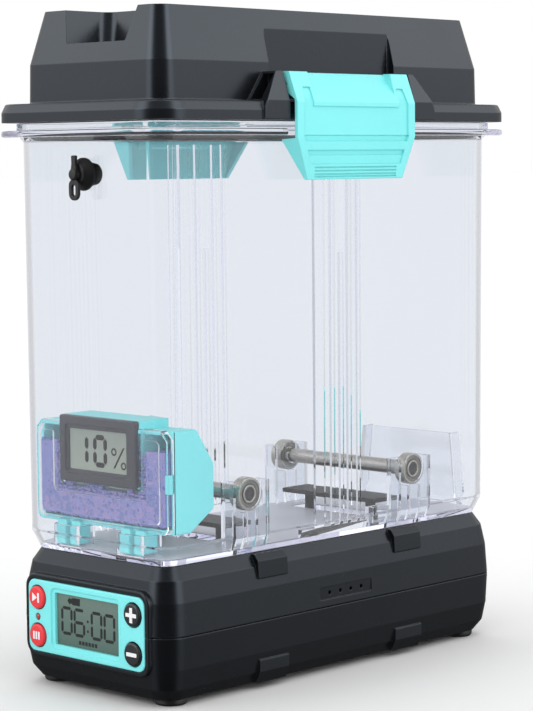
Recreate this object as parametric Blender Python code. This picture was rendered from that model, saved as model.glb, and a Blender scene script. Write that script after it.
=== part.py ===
"""Filament dryer box: a clear spool box with a latched lid, standing on a heated dock.

Frame: +Z up, the display faces -Y, and the origin lies on the resting plane, under the
middle of the dock. Driving dimensions are in millimetres; the mesh is written in metres.
"""

import math

import bmesh
import bpy
from mathutils import Matrix, Vector

MM = 0.001
GAP = 0.3  # clearance between neighbouring solids
ROUND = 4  # straight segments in each rounded corner
LENGTH_EXTRA = 126.6  # how much longer than wide every outline is

# Heights above the resting plane.
DOCK_BOTTOM = 3.0
DOCK_SEAM = 31.5
DOCK_TOP = 61.3
BOX_BOTTOM = 61.7
BOX_FLOOR = 64.2
LIP_BOTTOM = 246.3
LIP_TOP = 249.3
BOX_TOP = 252.5
LID_BOTTOM = 252.9
FLANGE_TOP = 261.1
LID_SHOULDER = 278.4
LID_TOP = 302.0

# Outlines of the casings, as (width, corner radius, height).
SEAM_GAP = 0.15  # from the seam's middle to each half
DOCK_LOWER = (
    (88.0, 9, DOCK_BOTTOM),
    (95.2, 11, 8.0),
    (98.4, 12, 17.0),
    (99.8, 12.5, DOCK_SEAM - SEAM_GAP),
)
DOCK_UPPER = (
    (99.8, 12.5, DOCK_SEAM + SEAM_GAP),
    (98.0, 12, 46.0),
    (94.4, 11, 55.5),
    (87.2, 9, DOCK_TOP),
)
DOCK_WALL = 2.4
TAB_MIDDLES = (-45.8, 46.2)  # grip tabs along both long sides
TAB_WIDTH = 19.0

# Display panel on the front of the dock.
PANEL_FRONT = -115.2
PANEL_HEIGHT = 32.4  # height of the panel's centre
PANEL_SIZE = (76.0, 32.6)
LCD_CENTRE_X = 0.8
LCD_SIZE = (43.2, 23.6)
BUTTON_X = 31.4
BUTTON_Z = (40.7, 23.5)
BUTTON_RADIUS = 5.1
LED_Z = 31.9
PANEL_RIM = 2.6  # width of the raised frame around the panel

# Air path and power inside the dock.
INTAKE_SLOTS, INTAKE_PITCH = 5, 8.0
VENT_HOLES, VENT_PITCH, VENT_START, VENT_Z = 4, 7.2, -8.9, 37.8
FAN_SIZE = 60.0
FAN_LOW, FAN_HIGH = 14.0, 28.0
FAN_HUB = 11.0
FAN_BLADES = 7
BLADE_PITCH = 32.0  # degrees between a blade and the fan's plane
HEATER_FINS = 12
INLET = (24.0, 18.0)  # x and z of the power inlet's middle

# Rollers that carry the spool.
ROLLER_Y = 55.7
ROLLER_Z = 88.0
BEARING_OUTER_FACE = 43.2
BEARING_WIDTH = 5.0
BEARING_RADIUS = 7.5
SHAFT_RADIUS = 3.5
JOURNAL_RADIUS = 3.0

# Latches on the two long sides; x is given for the right-hand one.
LATCH_PIVOT = (51.8, 268.3)
LATCH_HALF_WIDTH = 39.6
LATCH_BOTTOM_HALF_WIDTH = 32.0
LATCH_BOTTOM = 226.6
LATCH_KINK = 245.5  # where the plate starts to narrow downwards
LATCH_PLATE = 60.0
PIN_RADIUS = 1.5

# Upright ribs inside the long walls, as (y, width, top).
RIBS = (
    (-10.5, 6.6, 243.0),
    (-1.6, 2.4, 243.0),
    (4.4, 2.4, 193.0),
    (9.8, 2.4, 243.0),
    (16.2, 2.0, 243.0),
)
CRADLE_HALF = 11.4  # half the width of a bearing cradle
CRADLE_TOP = 93.6

# Feed-through grommets.
GROMMET_Z = 230.0
BOX_FRONT = -110.6
BOX_WALL = 2.6
LID_GROMMET = (10.0, -80.0, 291.9)

# Desiccant cartridge.
CART_HALF_WIDTH = 42.2
CART_FRONT = -100.4
CART_BOTTOM = 74.6
CART_TOP = 119.6
CLIP_X = 21.0
HYGROMETER = (49.6, 29.8)
HYGROMETER_Z = 108.3
HYGROMETER_FRONT = -105.6
HYGROMETER_DEPTH = 11.6
NEST_BACK = -85.4
NEST_TOP = 121.6

FOOT_PLACE = (36.5, 98.0)
SCREW_PLACE = (33.0, 84.0)
FAN_Y = -34.0
HEATER_Y = 28.0
VALVE_Y = 51.0
VALVE_OPENING = (27.0, 6.0)  # half length and half width of a floor opening

# Colour, metallic and roughness of each finish.
FINISHES = {
    "charcoal_plastic": ((0.035, 0.038, 0.043), 0.0, 0.45),
    "teal_plastic": ((0.09, 0.74, 0.72), 0.0, 0.35),
    "clear_plastic": ((0.86, 0.88, 0.95), 0.0, 0.05),
    "polished_steel": ((0.62, 0.61, 0.58), 1.0, 0.2),
    "black_rubber": ((0.02, 0.02, 0.022), 0.0, 0.7),
    "grey_case": ((0.09, 0.09, 0.105), 0.0, 0.4),
    "lcd": ((0.38, 0.43, 0.38), 0.0, 0.25),
    "red_button": ((0.78, 0.04, 0.05), 0.0, 0.35),
    "black_button": ((0.012, 0.012, 0.014), 0.0, 0.35),
    "circuit_board": ((0.02, 0.16, 0.07), 0.0, 0.5),
    "silica_beads": ((0.17, 0.14, 0.42), 0.0, 0.4),
    "aluminium": ((0.7, 0.7, 0.72), 1.0, 0.35),
    "cable": ((0.1, 0.1, 0.1), 0.0, 0.6),
}


def finish(name):
    """The shared material of that name."""
    if name in bpy.data.materials:
        return bpy.data.materials[name]
    colour, metallic, roughness = FINISHES[name]
    material = bpy.data.materials.new(name)
    material.use_nodes = True
    shader = material.node_tree.nodes["Principled BSDF"]
    shader.inputs["Base Color"].default_value = (*colour, 1.0)
    shader.inputs["Metallic"].default_value = metallic
    shader.inputs["Roughness"].default_value = roughness
    if name == "clear_plastic":
        shader.inputs["Alpha"].default_value = 0.35
    return material


def make_object(name, mesh_builder, finish_name=None):
    """An object from a bmesh in millimetres."""
    bmesh.ops.remove_doubles(mesh_builder, verts=mesh_builder.verts, dist=1e-4)
    bmesh.ops.recalc_face_normals(mesh_builder, faces=mesh_builder.faces)
    bmesh.ops.scale(mesh_builder, vec=(MM, MM, MM), verts=mesh_builder.verts)
    mesh = bpy.data.meshes.new(name)
    mesh_builder.to_mesh(mesh)
    mesh_builder.free()
    thing = bpy.data.objects.new(name, mesh)
    bpy.context.collection.objects.link(thing)
    if finish_name:
        mesh.materials.append(finish(finish_name))
    return thing


def combine(target, tool, operation):
    """Adds, cuts or keeps the common part with the tool, which is then removed."""
    modifier = target.modifiers.new("Shape", "BOOLEAN")
    modifier.operation = operation
    modifier.object = tool
    bpy.context.view_layer.update()
    graph = bpy.context.evaluated_depsgraph_get()
    shaped = bpy.data.meshes.new_from_object(target.evaluated_get(graph))
    target.modifiers.clear()
    target.data = shaped
    bpy.data.objects.remove(tool)


def add(target, *tools):
    for tool in tools:
        combine(target, tool, "UNION")


def cut(target, *tools):
    for tool in tools:
        combine(target, tool, "DIFFERENCE")


def keep(target, tool):
    combine(target, tool, "INTERSECT")


def rounded(width, depth, radius, segments=ROUND):
    """Points of a rounded rectangle about the origin, anticlockwise."""
    points = []
    for corner in range(4):
        sign_x = (1, -1, -1, 1)[corner]
        sign_y = (1, 1, -1, -1)[corner]
        centre = (sign_x * (width / 2 - radius), sign_y * (depth / 2 - radius))
        for step in range(segments + 1):
            angle = math.radians(90 * (corner + step / segments))
            points.append((centre[0] + radius * math.cos(angle), centre[1] + radius * math.sin(angle)))
    return points


def circle(radius, count, centre=(0.0, 0.0)):
    """Points of a regular outline about the centre."""
    turns = [math.tau * step / count for step in range(count)]
    return [(centre[0] + radius * math.cos(a), centre[1] + radius * math.sin(a)) for a in turns]


def shifted(points, across, up):
    return [(x + across, y + up) for x, y in points]


def stack(name, rings, finish_name=None, looped=False):
    """A skin over rings of 3-D points: capped at both ends, or looped back to the first ring."""
    builder = bmesh.new()
    rows = [[builder.verts.new(point) for point in ring] for ring in rings]
    pairs = list(zip(rows, rows[1:]))
    if looped:
        pairs.append((rows[-1], rows[0]))
    for low, high in pairs:
        for i in range(len(low)):
            j = (i + 1) % len(low)
            builder.faces.new((low[i], low[j], high[j], high[i]))
    if not looped:
        builder.faces.new(list(reversed(rows[0])))
        builder.faces.new(rows[-1])
    return make_object(name, builder, finish_name)


def casing_ring(width, radius, z):
    """One ring of a casing: every casing is longer than wide by the same amount."""
    return [(x, y, z) for x, y in rounded(width, width + LENGTH_EXTRA, radius)]


def casing(name, outlines, finish_name=None, looped=False):
    return stack(name, [casing_ring(*outline) for outline in outlines], finish_name, looped)


def on_axis(pair, axis, level):
    """The 3-D point of a pair of coordinates on the plane at that level of the axis."""
    values = list(pair)
    values.insert("XYZ".index(axis), level)
    return tuple(values)


def prism(name, outline, axis, low, high, finish_name=None):
    """An outline pushed along an axis. The outline's pairs are the two other axes, in X, Y, Z order."""
    rings = [[on_axis(pair, axis, level) for pair in outline] for level in (low, high)]
    return stack(name, rings, finish_name)


def block(name, x, y, z, finish_name=None):
    """A rectangular solid between the low and high values of each axis."""
    return prism(name, [(x[0], y[0]), (x[1], y[0]), (x[1], y[1]), (x[0], y[1])], "Z", *z, finish_name)


def rod(name, radius, axis, centre, low, high, finish_name=None, count=16):
    return prism(name, circle(radius, count, centre), axis, low, high, finish_name)


def turned(name, profile, axis, centre, finish_name=None, count=20, looped=False):
    """A solid of revolution. The profile is (position along the axis, radius)."""
    rings = []
    for level, radius in profile:
        rings.append([on_axis(pair, axis, level) for pair in circle(radius, count, centre)])
    return stack(name, rings, finish_name, looped)


def mirrored(points):
    return [(-first, second) for first, second in reversed(points)]


def cable(name, points, radius):
    """A round cable along a smooth path."""
    curve = bpy.data.curves.new(name, "CURVE")
    curve.dimensions = "3D"
    curve.bevel_depth = radius * MM
    curve.bevel_resolution = 1
    curve.resolution_u = 3
    curve.use_fill_caps = True
    spline = curve.splines.new("BEZIER")
    spline.bezier_points.add(len(points) - 1)
    for place, point in zip(spline.bezier_points, points):
        place.co = Vector(point) * MM
        place.handle_left_type = "AUTO"
        place.handle_right_type = "AUTO"
    thing = bpy.data.objects.new(name, curve)
    bpy.context.collection.objects.link(thing)
    curve.materials.append(finish("cable"))


def place_pairs(place):
    """The four (name, x, y) combinations of a place mirrored about both axes."""
    pairs = []
    for end, side_y in (("front", -1), ("rear", 1)):
        for hand, side_x in (("left", -1), ("right", 1)):
            pairs.append((f"{end}_{hand}", side_x * place[0], side_y * place[1]))
    return pairs


# ---------------------------------------------------------------- dock


def panel_outline(grow, radius=4.0):
    """The display panel's rounded outline, grown on every side."""
    width, height = PANEL_SIZE
    return shifted(rounded(width + 2 * grow, height + 2 * grow, radius + grow), 0, PANEL_HEIGHT)


def panel_frame(shell, z_low, z_high):
    """The raised frame around the display, one half on each shell, and the opening for the panel."""
    frame = prism("frame", panel_outline(PANEL_RIM), "Y", PANEL_FRONT + 0.6, -109.5)
    keep(frame, block("half", (-60, 60), (-130, -100), (z_low, z_high)))
    add(shell, frame)
    cut(shell, prism("opening", panel_outline(0.4), "Y", -120, -106))


def side_tabs(shell, profile):
    """Raised grip tabs on both long sides. The profile is in x and z, for the right-hand side."""
    for middle in TAB_MIDDLES:
        for points in (profile, mirrored(profile)):
            add(shell, prism("tab", points, "Y", middle - TAB_WIDTH / 2, middle + TAB_WIDTH / 2))


def make_dock_lower_shell():
    inner = ((95.0, 10.2, DOCK_SEAM - SEAM_GAP), (91.0, 9, 9.6), (84.0, 7, DOCK_BOTTOM + DOCK_WALL))
    shell = casing("dock_lower_shell", DOCK_LOWER + inner, "charcoal_plastic")
    panel_frame(shell, 0, DOCK_SEAM - SEAM_GAP)
    side_tabs(shell, [(43.0, 3.0), (47.2, 3.0), (49.2, 8.4), (49.2, 14.0), (46.8, 14.0)])
    for name, x, y in place_pairs(SCREW_PLACE):
        add(shell, rod("post", 4.2, "Z", (x, y), DOCK_BOTTOM + 1, 27.0, count=12))
        cut(shell, rod("hole", 1.9, "Z", (x, y), 0, 30, count=12))
        cut(shell, rod("counterbore", 3.3, "Z", (x, y), 0, 5.5, count=12))
    cut(shell, prism("inlet_opening", shifted(rounded(22.6, 12.6, 5), *INLET), "Y", 108, 118))
    for slot in range(INTAKE_SLOTS):
        y = FAN_Y + INTAKE_PITCH * (slot - (INTAKE_SLOTS - 1) / 2)
        cut(shell, block("intake", (-18, 18), (y - 1.5, y + 1.5), (0, 8)))


def make_dock_upper_shell():
    ceiling = ((83.5, 7, DOCK_TOP - 2.7), (89.8, 9, 54.4), (95.0, 10.2, DOCK_SEAM + SEAM_GAP))
    shell = casing("dock_upper_shell", ceiling + DOCK_UPPER, "charcoal_plastic")
    panel_frame(shell, DOCK_SEAM + SEAM_GAP, 80)
    side_tabs(shell, [(46.4, 50.2), (49.0, 50.2), (48.4, 58.2), (46.4, 61.1), (40.0, 61.1), (40.0, 59.5)])
    for name, x, y in place_pairs(SCREW_PLACE):
        add(shell, rod("boss", 4.0, "Z", (x, y), 27.4, DOCK_TOP - 1.5, count=12))
        cut(shell, rod("pilot", 1.8, "Z", (x, y), 20, 42, count=12))
    for side_y in (-1, 1):
        y = side_y * VALVE_Y
        cut(shell, block("air_slot", (-26, 26), (y - 6, y - 2), (50, 70)))
        cut(shell, block("air_slot", (-26, 26), (y + 2, y + 6), (50, 70)))
    for hole in range(VENT_HOLES):
        cut(shell, rod("vent", 1.0, "X", (VENT_START + VENT_PITCH * hole, VENT_Z), -60, 60, count=8))


def make_display_panel():
    x, z = LCD_CENTRE_X, PANEL_HEIGHT
    bezel = prism("display_bezel", panel_outline(0), "Y", PANEL_FRONT, PANEL_FRONT + 2.6, "teal_plastic")
    cut(bezel, prism("window", shifted(rounded(*LCD_SIZE, 0.8), x, z), "Y", -120, -108))
    for side in (-1, 1):
        for button_z in BUTTON_Z:
            hole = rod("hole", BUTTON_RADIUS + 0.4, "Y", (side * BUTTON_X, button_z), -120, -108, count=24)
            cut(bezel, hole)
    cut(bezel, rod("hole", 1.7, "Y", (-BUTTON_X, LED_Z), -120, -108, count=12))
    block("display_lcd", (x - 23, x + 23), (-112.3, -109.6), (z - 13.4, z + 13.4), "lcd")
    board = block("control_board", (-37, 37), (-108.8, -107.2), (z - 15.6, z + 15.6), "circuit_board")
    add(board, block("connector", (-8, 8), (-107.4, -101.0), (z - 12, z - 5)))
    led = ((PANEL_FRONT - 0.3, 0.7), (PANEL_FRONT + 0.2, 1.4), (-109.4, 1.4))
    turned("status_led", led, "Y", (-BUTTON_X, LED_Z), "red_button", 12)


def make_button(name, x, z, finish_name):
    """A push button: cap, a flange behind the panel, and a stem towards its switch."""
    front = PANEL_FRONT - 1.1
    profile = (
        (front, BUTTON_RADIUS - 0.8),
        (front + 0.3, BUTTON_RADIUS),
        (front + 4.1, BUTTON_RADIUS),
        (front + 4.1, BUTTON_RADIUS + 0.9),
        (front + 5.1, BUTTON_RADIUS + 0.9),
        (front + 5.1, 1.6),
        (front + 6.2, 1.6),
    )
    turned(name, profile, "Y", (x, z), finish_name, 24)


def make_buttons():
    make_button("start_button", -BUTTON_X, BUTTON_Z[0], "red_button")
    make_button("mode_button", -BUTTON_X, BUTTON_Z[1], "red_button")
    make_button("plus_button", BUTTON_X, BUTTON_Z[0], "black_button")
    make_button("minus_button", BUTTON_X, BUTTON_Z[1], "black_button")


def make_feet_and_screws():
    for name, x, y in place_pairs(FOOT_PLACE):
        profile = ((0, 6.2), (0.8, 7.0), (DOCK_BOTTOM - 0.1, 7.2))
        turned(f"foot_{name}", profile, "Z", (x, y), "black_rubber", 16)
    for name, x, y in place_pairs(SCREW_PLACE):
        profile = ((3.4, 2.8), (5.2, 2.8), (5.2, 1.5), (40.0, 1.5), (41.0, 0.8))
        turned(f"dock_screw_{name}", profile, "Z", (x, y), "polished_steel", 12)


def add_fan_blade(wheel, turn):
    """One pitched blade, turned to its place about the wheel's axis."""
    blade = block("blade", (FAN_HUB - 2, FAN_SIZE / 2 - 3), (-0.7, 0.7), (-4, 4))
    blade.data.transform(Matrix.Rotation(math.radians(BLADE_PITCH), 4, "X"))
    low = min(corner[2] for corner in blade.bound_box)
    blade.data.transform(Matrix.Translation((0, 0, (FAN_LOW + 4.2) * MM - low)))
    blade.data.transform(Matrix.Rotation(turn, 4, "Z"))
    blade.data.transform(Matrix.Translation((0, FAN_Y * MM, 0)))
    add(wheel, blade)


def make_fan():
    """An axial fan that draws air through the return slots and drives it through the heater."""
    half = FAN_SIZE / 2
    y = (FAN_Y - half, FAN_Y + half)
    frame = block("fan_frame", (-half, half), y, (FAN_LOW, FAN_HIGH), "charcoal_plastic")
    cut(frame, rod("bore", half - 2, "Z", (0, FAN_Y), 10, 40, count=32))
    for turn in range(4):
        spoke = block("spoke", (4, half - 1), (-1.2, 1.2), (FAN_LOW, FAN_LOW + 2))
        spoke.data.transform(Matrix.Rotation(math.radians(45 + 90 * turn), 4, "Z"))
        spoke.data.transform(Matrix.Translation((0, FAN_Y * MM, 0)))
        add(frame, spoke)
    add(frame, rod("motor_plate", FAN_HUB, "Z", (0, FAN_Y), FAN_LOW, FAN_LOW + 2.4, count=20))
    wheel = rod("fan_impeller", FAN_HUB, "Z", (0, FAN_Y), FAN_LOW + 3, FAN_HIGH - 1, "charcoal_plastic", 28)
    for step in range(FAN_BLADES):
        add_fan_blade(wheel, math.tau * step / FAN_BLADES)


def make_heater():
    """A frame that holds a finned heating element."""
    half = 14
    y0, y1 = HEATER_Y - half, HEATER_Y + half
    frame = block("heater_frame", (-34, 34), (y0 - 3, y1 + 3), (14, 34), "charcoal_plastic")
    cut(frame, block("hollow", (-30, 30), (y0, y1), (10, 40)))
    add(frame, block("ledge", (-31, 31), (y0 - 1, y0 + 2), (14, 16)))
    add(frame, block("ledge", (-31, 31), (y1 - 2, y1 + 1), (14, 16)))
    core = block("heater_core", (-29.5, 29.5), (y0 + 0.5, y0 + 3), (16.5, 32), "aluminium")
    add(core, block("bar", (-29.5, 29.5), (y1 - 3, y1 - 0.5), (16.5, 32)))
    for fin in range(HEATER_FINS):
        x = 5 * (fin - (HEATER_FINS - 1) / 2)
        add(core, block("fin", (x - 0.5, x + 0.5), (y0 + 1, y1 - 1), (17.5, 31)))


def make_air_duct():
    """A hood that leads the heated air up to the rear slots of the deck."""
    low = [(x, y + HEATER_Y, 34.4) for x, y in rounded(70, 36, 3)]
    high = [(x, y + VALVE_Y, 57.8) for x, y in rounded(58, 17, 3)]
    inner_high = [(x, y + VALVE_Y, 57.8) for x, y in rounded(55, 14, 2)]
    inner_low = [(x, y + HEATER_Y, 34.4) for x, y in rounded(66, 32, 2)]
    stack("air_duct", (low, high, inner_high, inner_low), "charcoal_plastic", looped=True)


def make_power():
    supply = block("power_supply", (-26, 20), (50, 98), (10, 11.6), "circuit_board")
    add(supply, block("transformer", (-19, -2), (62, 80), (11, 24)))
    add(supply, rod("capacitor", 6, "Z", (10, 90), 11, 27, count=14))
    add(supply, block("heat_sink", (-24, -21.5), (56, 94), (11, 26)))
    x, z = INLET
    inlet = prism("power_inlet", shifted(rounded(22, 12, 4.7), x, z), "Y", 100, 112.4, "black_button")
    cut(inlet, prism("socket", shifted(rounded(18, 8, 3), x, z), "Y", 104, 115))
    for contact in (x - 3.5, x + 3.5):
        add(inlet, rod("contact", 1.3, "Y", (contact, z), 103, 110, count=10))
    power_path = [(x, 99.4, z), (x, 95, z), (x - 1, 88, 21), (16, 78, 26)]
    power_path += [(10, 66, 22), (9, 64, 18), (9, 64, 12.4)]
    cable("power_cable", power_path, 1.6)
    ribbon_path = [(0, -100.4, 23), (0, -96, 22.8), (0, -90, 17), (-26, -76, 13), (-40, -62, 16)]
    ribbon_path += [(-40.5, -40, 16), (-40, 10, 18), (-36, 46, 18), (-29, 58, 16), (-29, 58, 12.4)]
    cable("ribbon_cable", ribbon_path, 1.3)


# ---------------------------------------------------------------- clear box


def bearing_pocket(radius):
    """A U-shaped plate outline in y and z, open upwards round a bearing centre at the origin."""
    top, low = CRADLE_TOP - ROLLER_Z, BOX_BOTTOM + 1 - ROLLER_Z
    points = [(-radius, top), (-CRADLE_HALF, top), (-CRADLE_HALF, low)]
    points += [(CRADLE_HALF, low), (CRADLE_HALF, top), (radius, top)]
    turns = [math.pi * step / 8 for step in range(9)]
    return points + [(radius * math.cos(a), -radius * math.sin(a)) for a in turns]


def add_cradles(box):
    """Four moulded cradles: outer prongs hold a bearing, an inner plate keeps it from sliding in."""
    plates = ((36.4, 38.0, SHAFT_RADIUS + 0.5), (37.8, 45.0, BEARING_RADIUS + GAP))
    for _, side, y in place_pairs((1, ROLLER_Y)):
        for low, high, radius in plates:
            outline = shifted(bearing_pocket(radius), y, ROLLER_Z)
            add(box, prism("cradle", outline, "X", *sorted((side * low, side * high))))


def add_wall_ribs(box):
    """Upright stiffening ribs inside both long walls; the middle one is shorter."""
    for y, width, top in RIBS:
        for side in (-1, 1):
            x = sorted((side * 42.9, side * 45.2))
            add(box, block("rib", x, (y - width / 2, y + width / 2), (BOX_FLOOR - 1, top)))


def add_rear_pocket(box):
    """A low pocket against the rear wall for a second bag of desiccant."""
    outline = [(-33, BOX_FLOOR - 1), (33, BOX_FLOOR - 1), (28.8, 99.8), (-28.8, 99.8)]
    pocket = prism("pocket", outline, "Y", 100.6, 109.0)
    space = [(-30.6, BOX_FLOOR + 1), (30.6, BOX_FLOOR + 1), (26.8, 105), (-26.8, 105)]
    cut(pocket, prism("space", space, "Y", 102.4, 107.4))
    cut(pocket, block("outside", (-40, 40), (108.2, 112), (60, 110)))
    add(box, pocket)


def add_floor_brackets(box):
    """Sockets for the cartridge's clips, and two small guide brackets by the walls."""
    solid, space = (BOX_FLOOR - 1, 73.6), (BOX_FLOOR + 1, 80)
    for side in (-1, 1):
        x = side * CLIP_X
        socket = block("socket", (x - 9.4, x + 9.4), (-106.2, -96.0), solid)
        cut(socket, block("slot", (x - 8.2, x + 8.2), (-104.8, -97.4), space))
        add(box, socket)
        guide = block("guide", sorted((side * 38.6, side * 45.0)), (26, 37), (BOX_FLOOR - 1, 72.5))
        cut(guide, block("guide_space", sorted((side * 40.2, side * 43.2)), (27.6, 35.4), space))
        add(box, guide)


def make_box_body():
    """The clear box: thin walls, a wide lip for the latches, and a sealing ring above it."""
    outside = (
        (87.0, 8, BOX_BOTTOM),
        (93.1, 9, 69.3),
        (94.7, 9.5, 244.6),
        (98.0, 11, LIP_BOTTOM),
        (113.4, 17.5, LIP_BOTTOM),
        (113.4, 17.5, LIP_TOP),
        (100.4, 12, LIP_TOP),
        (100.4, 12, BOX_TOP),
    )
    inside = (
        (89.9, 7.4, BOX_TOP),
        (89.7, 7.2, 246.0),
        (88.1, 6.8, 70.3),
        (82.6, 5.8, BOX_FLOOR),
    )
    box = casing("box_body", outside + inside, "clear_plastic")
    add_cradles(box)
    add_wall_ribs(box)
    add_rear_pocket(box)
    add_floor_brackets(box)
    keep(box, casing("outer_limit", outside))
    for side_x in (-1, 1):
        for side_y in (-1, 1):
            x = sorted((side_x * 50.8, side_x * 60))
            y = sorted((side_y * 29.5, side_y * 42.0))
            cut(box, block("lip_notch", x, y, (LIP_BOTTOM - 1, LIP_TOP + GAP)))
    cut(box, rod("feed_hole", 4.3, "Y", (0, GROMMET_Z), -115, -105))
    half_length, half_width = VALVE_OPENING
    for y in (-VALVE_Y, VALVE_Y):
        x = (-half_length, half_length)
        cut(box, block("valve_opening", x, (y - half_width, y + half_width), (BOX_BOTTOM - 1, BOX_FLOOR + 1)))


def make_air_valve(name, y):
    """A valve plate held open above its floor slot by two stems that stand on the dock."""
    plate = block(name, (-30, 30), (y - 9, y + 9), (71.5, 73.5), "black_rubber")
    for x in (-20, 20):
        add(plate, rod("stem", 2.5, "Z", (x, y), DOCK_TOP + GAP, 72.5, count=12))


def make_roller(name, y):
    """A polished shaft with journals that run in the bearings' inner rings."""
    neck = BEARING_OUTER_FACE - BEARING_WIDTH - 0.2
    end = BEARING_OUTER_FACE - 0.2
    profile = (
        (-end, JOURNAL_RADIUS - 0.4),
        (-end + 0.4, JOURNAL_RADIUS),
        (-neck, JOURNAL_RADIUS),
        (-neck, SHAFT_RADIUS),
        (neck, SHAFT_RADIUS),
        (neck, JOURNAL_RADIUS),
        (end - 0.4, JOURNAL_RADIUS),
        (end, JOURNAL_RADIUS - 0.4),
    )
    turned(name, profile, "X", (y, ROLLER_Z), "polished_steel", 20)


def make_bearing(name, side, y):
    """Outer ring with its shields, and the inner ring that turns with the shaft."""
    low, high = sorted((side * (BEARING_OUTER_FACE - BEARING_WIDTH), side * BEARING_OUTER_FACE))
    centre = (y, ROLLER_Z)
    outer = ((low, 4.4), (low, 7.1), (low + 0.4, 7.5), (high - 0.4, 7.5), (high, 7.1), (high, 4.4))
    turned(f"bearing_outer_{name}", outer, "X", centre, "polished_steel", 24, looped=True)
    bore = JOURNAL_RADIUS + 0.1
    inner = ((low, bore), (low, 4.1), (high, 4.1), (high, bore))
    turned(f"bearing_inner_{name}", inner, "X", centre, "polished_steel", 20, looped=True)


def make_rollers():
    make_roller("roller_shaft_front", -ROLLER_Y)
    make_roller("roller_shaft_rear", ROLLER_Y)
    for name, x, y in place_pairs((1, ROLLER_Y)):
        make_bearing(name, x, y)


def make_grommet(name, x, z, wall_outside, wall_inside, scale):
    """A rubber feed-through: cone outside, neck through the wall, stud inside, bored for filament."""
    bore = 1.6 * scale
    profile = (
        (wall_outside - 5.2 * scale, bore),
        (wall_outside - 5.2 * scale, 4.4 * scale),
        (wall_outside - 1.4 * scale, 7.2 * scale),
        (wall_outside - GAP, 7.2 * scale),
        (wall_outside - GAP, 4.0 * scale),
        (wall_inside + GAP, 4.0 * scale),
        (wall_inside + GAP, 5.4 * scale),
        (wall_inside + 4.6 * scale, 4.6 * scale),
        (wall_inside + 4.6 * scale, bore),
    )
    turned(name, profile, "Y", (x, z), "black_rubber", 20, looped=True)


def make_plug(name, x, z, wall_outside, scale, turn):
    """A pull-out plug: pin, round head, grip tab and looped strap, turned about its axis."""
    head = wall_outside - 5.2 * scale - GAP
    profile = (
        (head - 2.4 * scale, 1.6 * scale),
        (head - 1.8 * scale, 2.5 * scale),
        (head, 2.5 * scale),
        (head, 1.2 * scale),
        (wall_outside + 3.0, 1.2 * scale),
        (wall_outside + 3.6, 0.7 * scale),
    )
    plug = turned(name, profile, "Y", (x, z), "black_rubber", 16)
    y = (head - 1.5 * scale, head - 0.2 * scale)
    add(plug, block("tab", (x - 1.5 * scale, x + 1.5 * scale), y, (z + 1.5 * scale, z + 8.2 * scale)))
    loop = [(px * scale + x, pz * scale + z - 6.6 * scale) for px, pz in rounded(6.4, 9.4, 3.0, 3)]
    hole = [(px * scale + x, pz * scale + z - 6.9 * scale) for px, pz in rounded(2.6, 5.0, 1.2, 2)]
    strap = prism("strap", loop, "Y", *y)
    cut(strap, prism("strap_hole", hole, "Y", -130, -60))
    add(plug, strap)
    centre = Vector((x, 0, z)) * MM
    spin = Matrix.Rotation(math.radians(turn), 4, "Y")
    plug.data.transform(Matrix.Translation(centre) @ spin @ Matrix.Translation(-centre))


# ---------------------------------------------------------------- desiccant cartridge


def tray_outline(inset):
    """Side profile of the cartridge in y and z; its rear follows the spool."""
    return [
        (CART_FRONT, CART_BOTTOM + inset),
        (-91.0, CART_BOTTOM + inset),
        (-76.8 - inset, 84.0),
        (-76.8 - inset, 104.0),
        (-87.0 - inset / 2, CART_TOP - inset),
        (CART_FRONT, CART_TOP - inset),
    ]


def make_tray():
    """The cartridge body: an open-fronted tray with a nest for the hygrometer and two clips."""
    side = CART_HALF_WIDTH - 2.0
    tray = prism("desiccant_tray", tray_outline(0), "X", -CART_HALF_WIDTH, CART_HALF_WIDTH, "teal_plastic")
    cut(tray, prism("inside", tray_outline(2.0), "X", -side, side))
    cut(tray, block("mouth", (-side, side), (-102, -99), (CART_BOTTOM + 2, CART_TOP - 2)))
    half = HYGROMETER[0] / 2
    low = HYGROMETER_Z - HYGROMETER[1] / 2
    space_back = HYGROMETER_FRONT + HYGROMETER_DEPTH + 0.4
    add(tray, block("nest", (-half - 2.0, half + 2.0), (-103.8, NEST_BACK), (low - 2.0, NEST_TOP)))
    cut(tray, block("nest_space", (-half - GAP, half + GAP), (-110, space_back), (low - GAP, 130)))
    for x in (-CLIP_X, CLIP_X):
        add(tray, block("clip", (x - 7.7, x + 7.7), (-104.2, -98.0), (BOX_FLOOR + 1.5, CART_BOTTOM - GAP)))
        add(tray, block("clip_root", (x - 7.7, x + 7.7), (-100.0, -98.0), (CART_BOTTOM - 1, CART_BOTTOM + 1)))


def cover_outline(inset):
    """The U-shaped outline of the window over the beads, shrunk on every side."""
    side, bottom, top = CART_HALF_WIDTH + 0.4 - inset, CART_BOTTOM + 0.2 + inset, CART_TOP + 0.4 - inset
    inner = HYGROMETER[0] / 2 + 2.4 + inset
    floor = HYGROMETER_Z - HYGROMETER[1] / 2 - 2.4 - inset
    points = [(-side, bottom), (side, bottom), (side, top), (inner, top)]
    return points + [(inner, floor), (-inner, floor), (-inner, top), (-side, top)]


def make_cover():
    """The clear U-shaped window over the beads."""
    back = CART_FRONT - GAP
    cover = prism("desiccant_cover", cover_outline(0), "Y", -104.2, back, "clear_plastic")
    cut(cover, prism("cover_space", cover_outline(1.4), "Y", -102.9, back + 5))


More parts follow.
